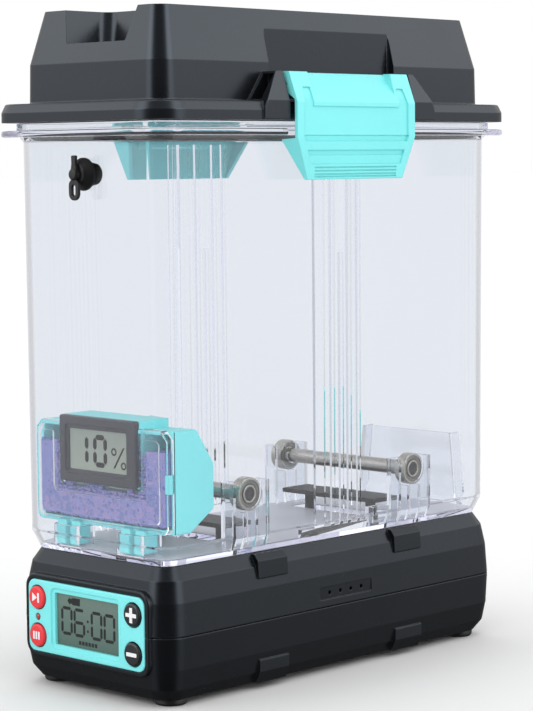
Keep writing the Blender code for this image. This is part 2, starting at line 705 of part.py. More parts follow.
def make_beads():
    """The bead fill, as one settled mass behind the hygrometer's nest and in the two arms."""
    profile = [(-102.4, 78.4), (-92.0, 78.4), (-80.0, 86.4), (-80.0, 102.5), (-84.2, 110.5), (-102.4, 110.5)]
    beads = prism("desiccant_beads", profile, "X", -39.7, 39.7, "silica_beads")
    half = HYGROMETER[0] / 2 + 4.4
    low = HYGROMETER_Z - HYGROMETER[1] / 2 - 4.4
    cut(beads, block("nest_room", (-half, half), (-110, NEST_BACK + 0.8), (low, 130)))


def make_hygrometer():
    """A gauge in its own case: window, display, circuit board and coin cell."""
    half_width, half_height = HYGROMETER[0] / 2, HYGROMETER[1] / 2
    z, front, wall = HYGROMETER_Z, HYGROMETER_FRONT, 1.6
    outline = shifted(rounded(*HYGROMETER, 1.2, 2), 0, z)
    case = prism("hygrometer_case", outline, "Y", front, front + HYGROMETER_DEPTH, "grey_case")
    inner_x = (wall - half_width, half_width - wall)
    inner_z = (z - half_height + wall, z + half_height - wall)
    cut(case, block("case_space", inner_x, (front + 3.2, front + 20), inner_z))
    cut(case, block("window", (-19.4, 18.4), (front - 5, front + 5), (z - 8.9, z + 8.9)))
    block("hygrometer_lcd", (-19.0, 18.0), (front + 1.4, front + 2.6), (z - 8.5, z + 8.5), "lcd")
    block("hygrometer_board", (-22, 22), (front + 4.2, front + 5.8), (z - 12.5, z + 12.5), "circuit_board")
    rod("coin_cell", 5.8, "Y", (10, z), front + 6.2, front + 11.0, "polished_steel", 20)


# ---------------------------------------------------------------- lid and latches


def latch_side(outline, side):
    """An outline given for the right-hand side, mirrored if the side is the left."""
    return outline if side > 0 else mirrored(outline)


def add_ears(lid):
    """Two ears beside each latch, which hold the hinge pin."""
    pivot_x, pivot_z = LATCH_PIVOT
    lean = [(57.6, 260.9), (60.0, 260.9), (60.0, 280.0), (53.2, 280.0), (53.2, 274.5)]
    for _, side, side_y in place_pairs((1, 1)):
        inner, outer = side_y * 40.9, side_y * 57.2
        outline = [(inner, 253.0), (outer, 253.0), (outer, 258.0)]
        outline += [(side_y * 55.8, FLANGE_TOP), (side_y * 46.0, 274.4), (inner, 274.4)]
        ear = prism("ear", outline, "X", *sorted((side * 43.5, side * 57.4)))
        cut(ear, prism("lean", latch_side(lean, side), "Y", -70, 70))
        cut(ear, rod("pin_hole", PIN_RADIUS + GAP, "Y", (side * pivot_x, pivot_z), -47, 47, count=12))
        add(lid, ear)


def seal_outlines(outer, inner, low, high):
    """A ring of rectangular section between two outline widths, for the seal and its groove."""
    corner_out, corner_in = outer - 87.5, inner - 83.9
    outside = ((outer, corner_out, low), (outer, corner_out, high))
    return outside + ((inner, corner_in, high), (inner, corner_in, low))


def make_lid_shell():
    """Hollow lid: flange, upright band, tapered crown, side recesses and a front pocket."""
    outlines = (
        (112.6, 17, LID_BOTTOM),
        (112.6, 17, 257.2),
        (109.4, 16, FLANGE_TOP),
        (90.1, 9.5, FLANGE_TOP + 0.3),
        (89.3, 9, LID_SHOULDER),
        (77.8, 6.5, LID_TOP),
    )
    lid = casing("lid_shell", outlines, "charcoal_plastic")
    add_ears(lid)
    inside = ((84.9, 7, LID_BOTTOM - 3), (84.9, 7, 262), (84.3, 6.5, LID_SHOULDER), (72.8, 4.2, LID_TOP - 2.8))
    hollow = casing("hollow", inside)
    for side in (-1, 1):
        cut(hollow, block("recess_wall", sorted((side * 37.0, side * 60)), (-45, 45), (262.5, 310)))
        cut(lid, block("recess", sorted((side * 39.4, side * 44.95)), (-41.6, 42.4), (FLANGE_TOP + 0.6, 310)))
    cut(hollow, block("pocket_wall", (-21.6, 29), (-130, -77.4), (284.4, 310)))
    cut(lid, hollow)
    pocket = [(-19.2, 287.0), (21.6, 287.0), (26.6, 305.0), (-19.2, 305.0)]
    cut(lid, prism("pocket", pocket, "Y", -130, -80))
    cut(lid, casing("groove", seal_outlines(98.9, 92.1, LID_BOTTOM - 1, 255.6), None, True))
    cut(lid, rod("feed_hole", 2.6, "Y", (LID_GROMMET[0], LID_GROMMET[2]), -84, -74))


def make_lid_seal():
    """The rubber ring in the lid's groove, which closes on the box's rim."""
    outlines = seal_outlines(98.3, 92.7, BOX_TOP + 0.25, LID_BOTTOM + 2.4)
    casing("lid_seal", outlines, "black_rubber", True)


def latch_body(side):
    """Head round the pin and plate outside the lip, as a profile in x and z."""
    pivot_z = LATCH_PIVOT[1]
    profile = [(54.9, 274.3), (LATCH_PLATE, 261.0), (LATCH_PLATE, LATCH_KINK)]
    profile += [(58.6, LATCH_BOTTOM), (56.8, LATCH_BOTTOM), (49.6, 244.6), (58.4, 245.0)]
    profile += [(58.4, 262.0), (54.0, 264.9), (50.2, 265.2), (48.6, pivot_z), (49.4, 271.8), (51.4, 274.3)]
    name = "latch_right" if side > 0 else "latch_left"
    return prism(name, latch_side(profile, side), "Y", -45, 45, "teal_plastic")


def latch_front(wide, narrow, kink, top):
    """The latch seen from its side of the box: straight above the kink, narrowing below it."""
    points = [(-narrow, 220), (narrow, 220), (narrow, LATCH_BOTTOM), (wide, kink)]
    if top > kink:
        points += [(wide, top), (-wide, top)]
    return points + [(-wide, kink), (-narrow, LATCH_BOTTOM)]


def make_latch(side):
    """A hinged latch: head round the pin, plate outside the lip, cheeks and a hook below it."""
    latch = latch_body(side)
    wide, narrow, wall = LATCH_HALF_WIDTH, LATCH_BOTTOM_HALF_WIDTH, 2.2
    span = sorted((side * 40, side * 70))
    keep(latch, prism("front_outline", latch_front(wide, narrow, LATCH_KINK, 280), "X", *span))
    hollow = prism("hollow", latch_front(wide - wall, narrow - wall, 244.9, 0), "X", *span)
    behind = [(40, 220), (56.8, 220), (56.8, LATCH_BOTTOM), (58.4, 244.9), (40, 244.9)]
    keep(hollow, prism("behind", latch_side(behind, side), "Y", -45, 45))
    cut(latch, hollow)
    hook = [(57.1, 242.0), (57.1, 244.8), (59.0, 244.8), (59.0, 239.6)]
    add(latch, prism("hook", latch_side(hook, side), "Y", -26, 26))
    pivot_x, pivot_z = LATCH_PIVOT
    cut(latch, rod("pin_bore", PIN_RADIUS + GAP, "Y", (side * pivot_x, pivot_z), -50, 50, count=12))


def make_latches():
    for name, side in (("left", -1), ("right", 1)):
        make_latch(side)
        centre = (side * LATCH_PIVOT[0], LATCH_PIVOT[1])
        rod(f"latch_pin_{name}", PIN_RADIUS, "Y", centre, -46.4, 46.4, "polished_steel", 12)


def smooth_round_faces():
    """Smooth shading with sharp edges kept, on every mesh."""
    for thing in bpy.data.objects:
        if thing.type == "MESH":
            thing.data.shade_smooth()
            thing.data.set_sharp_from_angle(angle=math.radians(35))


def clear_scene():
    for thing in list(bpy.data.objects):
        bpy.data.objects.remove(thing)


def build():
    clear_scene()
    make_dock_lower_shell()
    make_dock_upper_shell()
    make_display_panel()
    make_buttons()
    make_feet_and_screws()
    make_fan()
    make_heater()
    make_air_duct()
    make_power()
    make_box_body()
    make_air_valve("air_valve_front", -VALVE_Y)
    make_air_valve("air_valve_rear", VALVE_Y)
    make_rollers()
    make_grommet("front_grommet", 0, GROMMET_Z, BOX_FRONT, BOX_FRONT + BOX_WALL, 1.0)
    make_plug("front_plug", 0, GROMMET_Z, BOX_FRONT, 1.0, 0)
    make_tray()
    make_cover()
    make_beads()
    make_hygrometer()
    make_lid_shell()
    make_lid_seal()
    make_latches()
    x, y, z = LID_GROMMET
    make_grommet("lid_grommet", x, z, y, y + BOX_WALL, 0.6)
    make_plug("lid_plug", x, z, y, 0.6, -90)
    smooth_round_faces()


build()
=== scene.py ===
"""Looks of the filament dryer box: fine casings, a refracting box, displays and a small studio.

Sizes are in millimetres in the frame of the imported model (+Z up, display towards -Y) and are
written to the meshes in metres. Every piece rides on the body of the CAD node it stands for.
"""

import math
import random

import bmesh
import bpy
from mathutils import Matrix, Vector


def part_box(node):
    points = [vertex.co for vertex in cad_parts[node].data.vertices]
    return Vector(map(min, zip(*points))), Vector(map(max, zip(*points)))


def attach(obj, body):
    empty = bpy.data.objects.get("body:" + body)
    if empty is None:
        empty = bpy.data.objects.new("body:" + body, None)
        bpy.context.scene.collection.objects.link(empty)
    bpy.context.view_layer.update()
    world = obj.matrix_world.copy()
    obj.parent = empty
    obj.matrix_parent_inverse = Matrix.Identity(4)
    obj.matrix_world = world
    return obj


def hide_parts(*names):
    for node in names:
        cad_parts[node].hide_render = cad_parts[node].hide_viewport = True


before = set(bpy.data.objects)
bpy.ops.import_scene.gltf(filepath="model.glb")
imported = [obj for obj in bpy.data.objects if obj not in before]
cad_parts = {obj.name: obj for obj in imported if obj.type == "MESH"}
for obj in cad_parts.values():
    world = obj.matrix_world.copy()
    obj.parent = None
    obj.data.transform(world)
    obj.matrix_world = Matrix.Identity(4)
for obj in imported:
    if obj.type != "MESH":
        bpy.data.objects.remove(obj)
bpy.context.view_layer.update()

MM = 0.001
ROUND = 10  # segments in each rounded corner of a casing
LENGTH_EXTRA = 126.6  # how much longer than wide every casing outline is
OUT_X, OUT_Y, OUT_Z = 60.0, 130.0, 310.0  # where a cutter stands clear of the whole object


def cad_box(node):
    """(lowest corner, highest corner) of a CAD node in millimetres."""
    low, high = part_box(node)
    return low / MM, high / MM


def cad_middle(node):
    """The middle of a CAD node's box in millimetres."""
    low, high = cad_box(node)
    return (low + high) / 2


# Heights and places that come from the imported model.
DOCK_LOW, DOCK_SEAM = cad_box("dock_lower_shell")[0].z, cad_box("dock_lower_shell")[1].z + 0.15
DOCK_TOP = cad_box("dock_upper_shell")[1].z
BOX_LOW, BOX_HIGH = cad_box("box_body")[0].z, cad_box("box_body")[1].z
LID_LOW, LID_HIGH = cad_box("lid_shell")[0].z, cad_box("lid_shell")[1].z
PANEL_FRONT = cad_box("display_bezel")[0].y
PANEL_BACK = -108.0  # clear behind the display panel
PANEL_MIDDLE = cad_middle("display_bezel").z
PANEL_SIZE = (76.0, 32.6)
LCD_MIDDLE_X = 0.4
LCD_SIZE = (41.8, 23.4)
BUTTON_RADIUS = 5.1
BUTTON_X = cad_middle("plus_button").x
BUTTON_HIGH = cad_middle("plus_button").z
BUTTON_LOW = cad_middle("minus_button").z
LED_Z = cad_middle("status_led").z
BOX_FLOOR = BOX_LOW + 2.5
LIP_LOW, LIP_HIGH = 246.3, 249.3
BOX_FRONT = -110.6
GROMMET_Z = cad_middle("front_grommet").z
LID_GROMMET = (10.0, -80.0, 291.9)
ROLLER_Y = cad_middle("roller_shaft_rear").y
ROLLER_Z = cad_middle("roller_shaft_rear").z
BEARING_FACE = cad_box("bearing_outer_rear_right")[1].x
BEARING_WIDTH = 5.0
SHAFT_RADIUS, JOURNAL_RADIUS, BEARING_RADIUS = 3.5, 3.0, 7.5
VALVE_Y = cad_middle("air_valve_rear").y
CART_SIDE = cad_box("desiccant_tray")[1].x
CART_FRONT = -100.4
CART_LOW, CART_HIGH = 74.6, 119.6
CLIP_X = 21.0
METER_SIZE = (49.6, 29.8)
METER_BEZEL = 2.8  # depth of the hygrometer's bezel
METER_STEP = 2.1  # how far the bezel overhangs the body behind it
METER_DEPTH = 11.6
METER_Z = cad_middle("hygrometer_case").z
METER_FRONT = cad_box("hygrometer_case")[0].y
FLANGE_TOP, BAND_LOW, BAND_HIGH = 261.1, 261.4, 278.4  # the lid's flange and its upright band
EAR_TOP = 274.4
LATCH_PIVOT = (51.8, 268.3)
LATCH_PLATE = 60.0
LATCH_HALF, LATCH_LOW_HALF = 39.6, 32.0
LATCH_KINK_LOW, LATCH_KINK_HIGH = 245.5, 261.0
LATCH_LOW = cad_box("latch_right")[0].z


# ---------------------------------------------------------------- mesh tools


def make_object(name, builder):
    """An object from a bmesh in millimetres."""
    bmesh.ops.remove_doubles(builder, verts=builder.verts, dist=1e-4)
    bmesh.ops.recalc_face_normals(builder, faces=builder.faces)
    bmesh.ops.scale(builder, vec=(MM, MM, MM), verts=builder.verts)
    mesh = bpy.data.meshes.new(name)
    builder.to_mesh(mesh)
    builder.free()
    thing = bpy.data.objects.new(name, mesh)
    bpy.context.collection.objects.link(thing)
    return thing


def together(name, things):
    """One object from several that don't touch."""
    builder = bmesh.new()
    for thing in things:
        builder.from_mesh(thing.data)
        bpy.data.objects.remove(thing)
    mesh = bpy.data.meshes.new(name)
    builder.to_mesh(mesh)
    builder.free()
    joined = bpy.data.objects.new(name, mesh)
    bpy.context.collection.objects.link(joined)
    return joined


def combine(target, tool, operation):
    """Adds, cuts or keeps the common part with the tool, which is then removed."""
    modifier = target.modifiers.new("Shape", "BOOLEAN")
    modifier.operation = operation
    modifier.object = tool
    bpy.context.view_layer.update()
    graph = bpy.context.evaluated_depsgraph_get()
    shaped = bpy.data.meshes.new_from_object(target.evaluated_get(graph))
    target.modifiers.clear()
    target.data = shaped
    bpy.data.objects.remove(tool)


def add(target, *tools):
    for tool in tools:
        combine(target, tool, "UNION")


def cut(target, *tools):
    for tool in tools:
        combine(target, tool, "DIFFERENCE")


def keep(target, tool):
    combine(target, tool, "INTERSECT")


def fillet(points, radii, steps=4, closed=True):
    """A polyline whose corners are arcs. Radii is one number, or one for each point."""
    count = len(points)
    if isinstance(radii, (int, float)):
        radii = [radii] * count
    result = []
    for i, radius in enumerate(radii):
        corner = Vector(points[i])
        if radius <= 0 or (not closed and i in (0, count - 1)):
            result.append(tuple(corner))
            continue
        back = Vector(points[i - 1]) - corner
        ahead = Vector(points[(i + 1) % count]) - corner
        half = back.angle(ahead) / 2
        reach = min(radius / math.tan(half), back.length * 0.48, ahead.length * 0.48)
        middle = (back.normalized() + ahead.normalized()).normalized()
        centre = corner + middle * (reach / math.cos(half))
        first = corner + back.normalized() * reach - centre
        last = corner + ahead.normalized() * reach - centre
        arc = [first.slerp(last, step / steps).normalized() * first.length for step in range(steps + 1)]
        result += [tuple(centre + spoke) for spoke in arc]
    return result


def inset(points, distance):
    """A closed 2-D outline moved inwards by a distance, with mitred corners."""
    count = len(points)
    area = sum(points[i - 1][0] * points[i][1] - points[i][0] * points[i - 1][1] for i in range(count))
    turn = 1 if area > 0 else -1
    moved = []
    for i in range(count):
        point = Vector(points[i])
        one = (point - Vector(points[i - 1])).normalized()
        two = (Vector(points[(i + 1) % count]) - point).normalized()
        normal_one = Vector((-one.y, one.x)) * turn
        normal_two = Vector((-two.y, two.x)) * turn
        middle = normal_one + normal_two
        moved.append(tuple(point + middle * (2 * distance / middle.length_squared)))
    return moved


def rounded(width, depth, radius, segments=ROUND):
    """Points of a rounded rectangle about the origin, anticlockwise."""
    x, y = width / 2, depth / 2
    return fillet([(x, y), (-x, y), (-x, -y), (x, -y)], radius, segments)


def shifted(points, across, up):
    return [(x + across, y + up) for x, y in points]


def rectangle(low, high):
    return [(low[0], low[1]), (high[0], low[1]), (high[0], high[1]), (low[0], high[1])]


def centred(half, rise):
    """A rectangle about the origin from half its width and half its height."""
    return rectangle((-half, -rise), (half, rise))


def circle(radius, count, centre=(0.0, 0.0)):
    turns = [math.tau * step / count for step in range(count)]
    return [(centre[0] + radius * math.cos(a), centre[1] + radius * math.sin(a)) for a in turns]


def stack(name, rings, looped=False):
    """A skin over rings of 3-D points: capped at both ends, or looped back to the first ring."""
    builder = bmesh.new()
    rows = [[builder.verts.new(point) for point in ring] for ring in rings]
    pairs = list(zip(rows, rows[1:]))
    if looped:
        pairs.append((rows[-1], rows[0]))
    for low, high in pairs:
        for i in range(len(low)):
            j = (i + 1) % len(low)
            builder.faces.new((low[i], low[j], high[j], high[i]))
    if not looped:
        builder.faces.new(list(reversed(rows[0])))
        builder.faces.new(rows[-1])
    return make_object(name, builder)


def casing(name, outlines, radii=0.0, looped=False, steps=4):
    """A casing from (width, corner radius, height) outlines; radii round the edges between them."""
    path = [(width / 2, corner, z) for width, corner, z in outlines]
    path = fillet(path, radii, steps, closed=looped)
    rings = []
    for half, corner, z in path:
        rings.append([(x, y, z) for x, y in rounded(2 * half, 2 * half + LENGTH_EXTRA, corner)])
    return stack(name, rings, looped)


def on_axis(pair, axis, level):
    """The 3-D point of a pair of coordinates on the plane at that level of the axis."""
    values = list(pair)
    values.insert("XYZ".index(axis), level)
    return tuple(values)


def prism(name, outline, axis, low, high, soft=(0.0, 0.0), steps=3):
    """An outline pushed along an axis, with the edges at the low and high ends rounded."""
    levels = []
    for step in range(steps + 1 if soft[0] else 1):
        angle = math.pi / 2 * step / steps
        levels.append((low + soft[0] * (1 - math.cos(angle)), soft[0] * (1 - math.sin(angle))))
    for step in range(steps + 1 if soft[1] else 1):
        angle = math.pi / 2 * (1 - step / steps)
        levels.append((high - soft[1] * (1 - math.cos(angle)), soft[1] * (1 - math.sin(angle))))
    rings = []
    for level, distance in levels:
        ring = inset(outline, distance) if distance > 1e-6 else outline
        rings.append([on_axis(pair, axis, level) for pair in ring])
    return stack(name, rings)


def block(name, x, y, z):
    """A rectangular solid between the low and high values of each axis."""
    return prism(name, rectangle((min(x), min(y)), (max(x), max(y))), "Z", min(z), max(z))


def rod(name, radius, axis, centre, low, high, count=32):
    return prism(name, circle(radius, count, centre), axis, low, high)


def turned(name, profile, axis, centre, count=48, looped=False):
    """A solid of revolution. The profile is (position along the axis, radius)."""
    rings = []
    for level, radius in profile:
        rings.append([on_axis(pair, axis, level) for pair in circle(radius, count, centre)])
    return stack(name, rings, looped)


def mirrored(points):
    """The outline on the other side of the middle plane, with the same sense of turning."""
    return [(-first, second) for first, second in reversed(points)]


def mirror_copy(thing, name):
    """A copy on the other side of the plane X = 0."""
    copy = bpy.data.objects.new(name, thing.data.copy())
    copy.data.transform(Matrix.Diagonal((-1, 1, 1, 1)))
    copy.data.flip_normals()
    bpy.context.collection.objects.link(copy)
    return copy


def place(thing, body, finish, slot, *nodes, sharp=32):
    """Finishes a piece: shading, material and the body it rides on, and hides the CAD nodes it stands for."""
    thing.data.shade_smooth()
    thing.data.set_sharp_from_angle(angle=math.radians(sharp))
    normals = thing.modifiers.new("Normals", "WEIGHTED_NORMAL")
    normals.keep_sharp = True
    thing.data.materials.clear()
    thing.data.materials.append(finish)
    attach(thing, body)
    if nodes:
        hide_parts(*nodes)
    return thing


# ---------------------------------------------------------------- materials


class Shading:
    """Short forms for building the node tree of a new material, or of a world."""

    def __init__(self, name, kind=bpy.data.materials):
        self.owner = kind.new(name)
        self.owner.use_nodes = True
        self.tree = self.owner.node_tree
        self.tree.nodes.clear()

    def node(self, kind, values=None, **settings):
        """A node whose inputs take numbers, colours or other nodes' sockets."""
        made = self.tree.nodes.new("ShaderNode" + kind)
        for key, value in settings.items():
            setattr(made, key, value)
        for key, value in (values or {}).items():
            if isinstance(value, bpy.types.NodeSocket):
                self.tree.links.new(value, made.inputs[key])
            else:
                made.inputs[key].default_value = value
        return made

    def math(self, operation, first, second=0.0, clamp=False):
        made = self.node("Math", {0: first, 1: second}, operation=operation, use_clamp=clamp)
        return made.outputs[0]

    def place(self):
        return self.node("TexCoord").outputs["Object"]

    def noise(self, scale, detail=2.0, stretch=None):
        where = self.place()
        if stretch:
            where = self.node("Mapping", {"Vector": where, "Scale": stretch}).outputs[0]
        return self.node("TexNoise", {"Vector": where, "Scale": scale, "Detail": detail}).outputs[0]

    def span(self, value, low, high, from_low=0.0, from_high=1.0):
        """The value mapped to the span from low to high."""
        ranges = {"From Min": from_low, "From Max": from_high, "To Min": low, "To Max": high}
        return self.node("MapRange", {"Value": value, **ranges}).outputs[0]

    def mix(self, factor, first, second):
        made = self.node("Mix", {0: factor, 6: first, 7: second}, data_type="RGBA")
        return made.outputs[2]

    def ramp(self, value, stops):
        """The colours of (position, colour) stops, picked by the value."""
        made = self.node("ValToRGB", {0: value})
        for position, _ in stops[1:-1]:
            made.color_ramp.elements.new(position)
        for element, (position, colour) in zip(made.color_ramp.elements, stops):
            element.position = position
            element.color = (*colour, 1.0)
        return made.outputs[0]

    def tone(self, value, colour, spread):
        """The colour made darker and lighter by up to the spread as the value goes from 0 to 1."""
        dark = (*(c * (1 - spread) for c in colour[:3]), 1.0)
        light = (*(min(1.0, c * (1 + spread)) for c in colour[:3]), 1.0)
        return self.mix(value, dark, light)

    def edges(self, radius):
        """(normal with softened edges, mask that is 1 on the edges)."""
        soft = self.node("Bevel", {"Radius": radius * MM}, samples=4).outputs[0]
        flat = self.node("NewGeometry").outputs["Normal"]
        same = self.node("VectorMath", {0: soft, 1: flat}, operation="DOT_PRODUCT").outputs["Value"]
        return soft, self.span(same, 1.0, 0.0, 0.90, 0.998)

    def bump(self, height, distance, normal=None, strength=1.0):
        values = {"Height": height, "Distance": distance * MM, "Strength": strength}
        if normal:
            values["Normal"] = normal
        return self.node("Bump", values).outputs[0]

    def principled(self, values):
        return self.node("BsdfPrincipled", values).outputs[0]

    def finish(self, surface, volume=None):
        output = self.node("OutputMaterial", {"Surface": surface})
        if volume:
            self.tree.links.new(volume, output.inputs["Volume"])
        return self.owner


COOL = (0.74, 0.86, 1.0, 1.0)  # the bluish sheen of the charcoal plastics
NEUTRAL = (1.0, 1.0, 1.0, 1.0)


def moulded(name, colour, roughness, grain=0.012, specular=0.5, edge_highlight_tone=1.6, sheen=NEUTRAL):
    """Moulded plastic: eroded grain, slight tone drift, smoother edges, and edges painted paler as a painted
    highlight.
    """
    shade = Shading(name)
    grains = shade.noise(2600, 3)
    drift = shade.noise(22, 4)
    normal, edge = shade.edges(0.6)
    body = shade.tone(drift, colour, 0.10)
    paler = (*(c * 1.5 for c in colour), 1.0)
    speckled = shade.mix(shade.span(grains, 0.0, 0.25, 0.45, 0.8), body, paler)
    # Edges painted paler in the base colour: a painted highlight that stands in for glints on the rounded
    # edges.
    painted_highlight_colour = (*(min(1, c * edge_highlight_tone) for c in colour), 1.0)
    with_painted_highlight = shade.mix(shade.math("MULTIPLY", edge, 0.5), speckled, painted_highlight_colour)
    rough = shade.span(drift, roughness - 0.04, roughness + 0.05)
    rough = shade.math("SUBTRACT", rough, shade.math("MULTIPLY", edge, 0.1))
    return shade.finish(shade.principled({
        "Base Color": with_painted_highlight,
        "Roughness": rough,
        "Specular IOR Level": specular,
        "Specular Tint": sheen,
        "Normal": shade.bump(grains, grain, normal),
    }))


DEEPEST_REFRACTION = 7.5  # bounces after which light no longer bends, so that none stays trapped


def clear_plastic(name, tint, volume_tint, density, roughness=0.0):
    """Clear moulded plastic. Light passes straight through it to what stands inside."""
    shade = Shading(name)
    flow = shade.noise(28, 2, (1.0, 1.0, 0.25))
    glass = shade.principled({
        "Base Color": shade.tone(shade.noise(6, 1), tint, 0.02),
        "Roughness": roughness,
        "IOR": 1.45,
        "Transmission Weight": 1.0,
        "Normal": shade.bump(flow, 0.02),
    })
    open_air = shade.node("BsdfTransparent", {"Color": (0.985, 0.99, 0.995, 1.0)}).outputs[0]
    path = shade.node("LightPath").outputs
    passing = shade.math("MAXIMUM", path["Is Shadow Ray"], path["Is Diffuse Ray"])
    trapped = shade.math("GREATER_THAN", path["Ray Depth"], DEEPEST_REFRACTION)
    passing = shade.math("MAXIMUM", passing, trapped)
    surface = shade.node("MixShader", {0: passing, 1: glass, 2: open_air}).outputs[0]
    inside = shade.node("VolumeAbsorption", {"Color": (*volume_tint, 1.0), "Density": density}).outputs[0]
    return shade.finish(surface, inside)


def frosted(name, colour):
    """A milky moulded texture that scatters part of the light and lets the rest through; its pale colour is
    also a painted reflection of the white surroundings.
    """
    shade = Shading(name)
    grains = shade.noise(900, 3)
    cloudy = shade.noise(35, 2)
    milky = shade.principled({
        "Base Color": shade.tone(cloudy, colour, 0.05),
        "Roughness": 0.3,
        "Normal": shade.bump(grains, 0.01),
    })
    open_air = shade.node("BsdfTransparent", {"Color": (0.95, 0.95, 0.97, 1.0)}).outputs[0]
    amount = shade.span(cloudy, 0.50, 0.66)
    return shade.finish(shade.node("MixShader", {0: amount, 1: open_air, 2: milky}).outputs[0])


def steel(name, colour, roughness, stretch):
    """Ground steel: fine marks along one direction and a faint tone drift."""
    shade = Shading(name)
    marks = shade.noise(1400, 2, stretch)
    drift = shade.noise(60, 3)
    return shade.finish(shade.principled({
        "Base Color": shade.tone(drift, colour, 0.08),
        "Metallic": 1.0,
        "Roughness": shade.span(marks, roughness * 0.7, roughness * 1.4),
        "Normal": shade.bump(marks, 0.002),
    }))


def rubber(name, colour):
    """Matt rubber with paler dust in patches."""
    shade = Shading(name)
    dust = shade.noise(420, 5)
    normal, edge = shade.edges(0.3)
    dusty = (*(c * 2.2 for c in colour), 1.0)
    base = shade.mix(shade.span(dust, 0.0, 0.5, 0.5, 0.9), (*colour, 1.0), dusty)
    return shade.finish(shade.principled({
        "Base Color": base,
        "Roughness": shade.span(dust, 0.42, 0.62),
        "Normal": shade.bump(dust, 0.01, normal),
    }))


def lcd_glass(name, low_colour, high_colour, low_z, high_z):
    """A display's back plate: a tone that falls off downwards, under a glossy film."""
    shade = Shading(name)
    height = shade.node("SeparateXYZ", {0: shade.place()}).outputs[2]
    fall = shade.span(height, 0.0, 1.0, low_z * MM, high_z * MM)
    base = shade.mix(fall, (*low_colour, 1.0), (*high_colour, 1.0))
    grain = shade.noise(3000, 1)
    speckle = shade.mix(shade.span(grain, 0.0, 0.12), base, (*high_colour, 1.0))
    return shade.finish(shade.principled({
        "Base Color": speckle,
        "Roughness": shade.span(grain, 0.22, 0.3),
        "Specular IOR Level": 0.35,
    }))


def ink(name, colour, roughness=0.45):
    """A printed or moulded mark with a slight unevenness."""
    shade = Shading(name)
    uneven = shade.noise(900, 2)
    return shade.finish(shade.principled({
        "Base Color": shade.tone(uneven, colour, 0.12),
        "Roughness": shade.span(uneven, roughness - 0.05, roughness + 0.08),
    }))


BEAD_STOPS = (
    (0.0, (0.13, 0.17, 0.45)),
    (0.35, (0.17, 0.20, 0.50)),
    (0.7, (0.22, 0.23, 0.55)),
    (0.95, (0.32, 0.25, 0.52)),
)


def bead_finish(name):
    """Indicating silica beads: blue-violet, with a pink one here and there."""
    shade = Shading(name)
    chance = shade.node("NewGeometry").outputs["Random Per Island"]
    cell = shade.node("TexVoronoi", {"Vector": shade.place(), "Scale": 420.0}).outputs["Color"]
    cell_value = shade.node("SeparateXYZ", {0: cell}).outputs[0]
    pick = shade.math("FRACT", shade.math("ADD", chance, shade.math("MULTIPLY", cell_value, 0.35)))
    return shade.finish(shade.principled({
        "Base Color": shade.ramp(pick, BEAD_STOPS),
        "Roughness": 0.32,
        "Subsurface Weight": 0.15,
        "Subsurface Radius": (0.002, 0.002, 0.004),
    }))


def board_finish(name):
    """Circuit board: green resist over a grid of copper tracks."""
    shade = Shading(name)
    tracks = shade.node("TexBrick", {"Vector": shade.place(), "Scale": 160.0, "Mortar Size": 0.03})
    tracks.inputs["Color1"].default_value = (0.02, 0.14, 0.06, 1.0)
    tracks.inputs["Color2"].default_value = (0.015, 0.10, 0.045, 1.0)
    tracks.inputs["Mortar"].default_value = (0.10, 0.26, 0.09, 1.0)
    fibre = shade.noise(1500, 2)
    return shade.finish(shade.principled({
        "Base Color": tracks.outputs["Color"],
        "Roughness": shade.span(fibre, 0.3, 0.5),
        "Normal": shade.bump(fibre, 0.01),
    }))


# The edge tone sets how much paler each plastic's edges are painted: a painted highlight in the base colour.
CHARCOAL = moulded("charcoal_lid", (0.0060, 0.0066, 0.0080), 0.27, 0.009, edge_highlight_tone=16, sheen=COOL)
# The dock's charcoal is a darker copy of the lid's, with weaker specular: painted shade for the light that
# falls off towards the dock.
DOCK_CHARCOAL_SHADED = moulded("charcoal_dock_painted_shade", (0.0042, 0.0047, 0.0056), 0.27, 0.007, 0.38, 10, COOL)
PANEL_BLACK = moulded("panel_black", (0.006, 0.0065, 0.0075), 0.34, grain=0.006, specular=0.4, sheen=COOL)
TEAL = moulded("teal_plastic_fine", (0.21, 0.80, 0.81), 0.38, grain=0.004, edge_highlight_tone=1.12)
GREY = moulded("grey_case_fine", (0.036, 0.039, 0.052), 0.36, grain=0.004)
RED = moulded("red_button_fine", (0.80, 0.035, 0.045), 0.30, grain=0.002, edge_highlight_tone=1.2)
BLACK = moulded("black_button_fine", (0.010, 0.010, 0.012), 0.30, grain=0.002)
LED_RED = moulded("led_lens", (0.42, 0.04, 0.05), 0.18, grain=0.001, edge_highlight_tone=1.3)
CLEAR = clear_plastic("clear_box_plastic", (0.888, 0.908, 0.940), (0.62, 0.60, 0.84), 8.0)
CLEAR_COVER = clear_plastic("clear_cover_plastic", (0.97, 0.975, 0.99), (0.5, 0.5, 0.8), 8.0, 0.04)
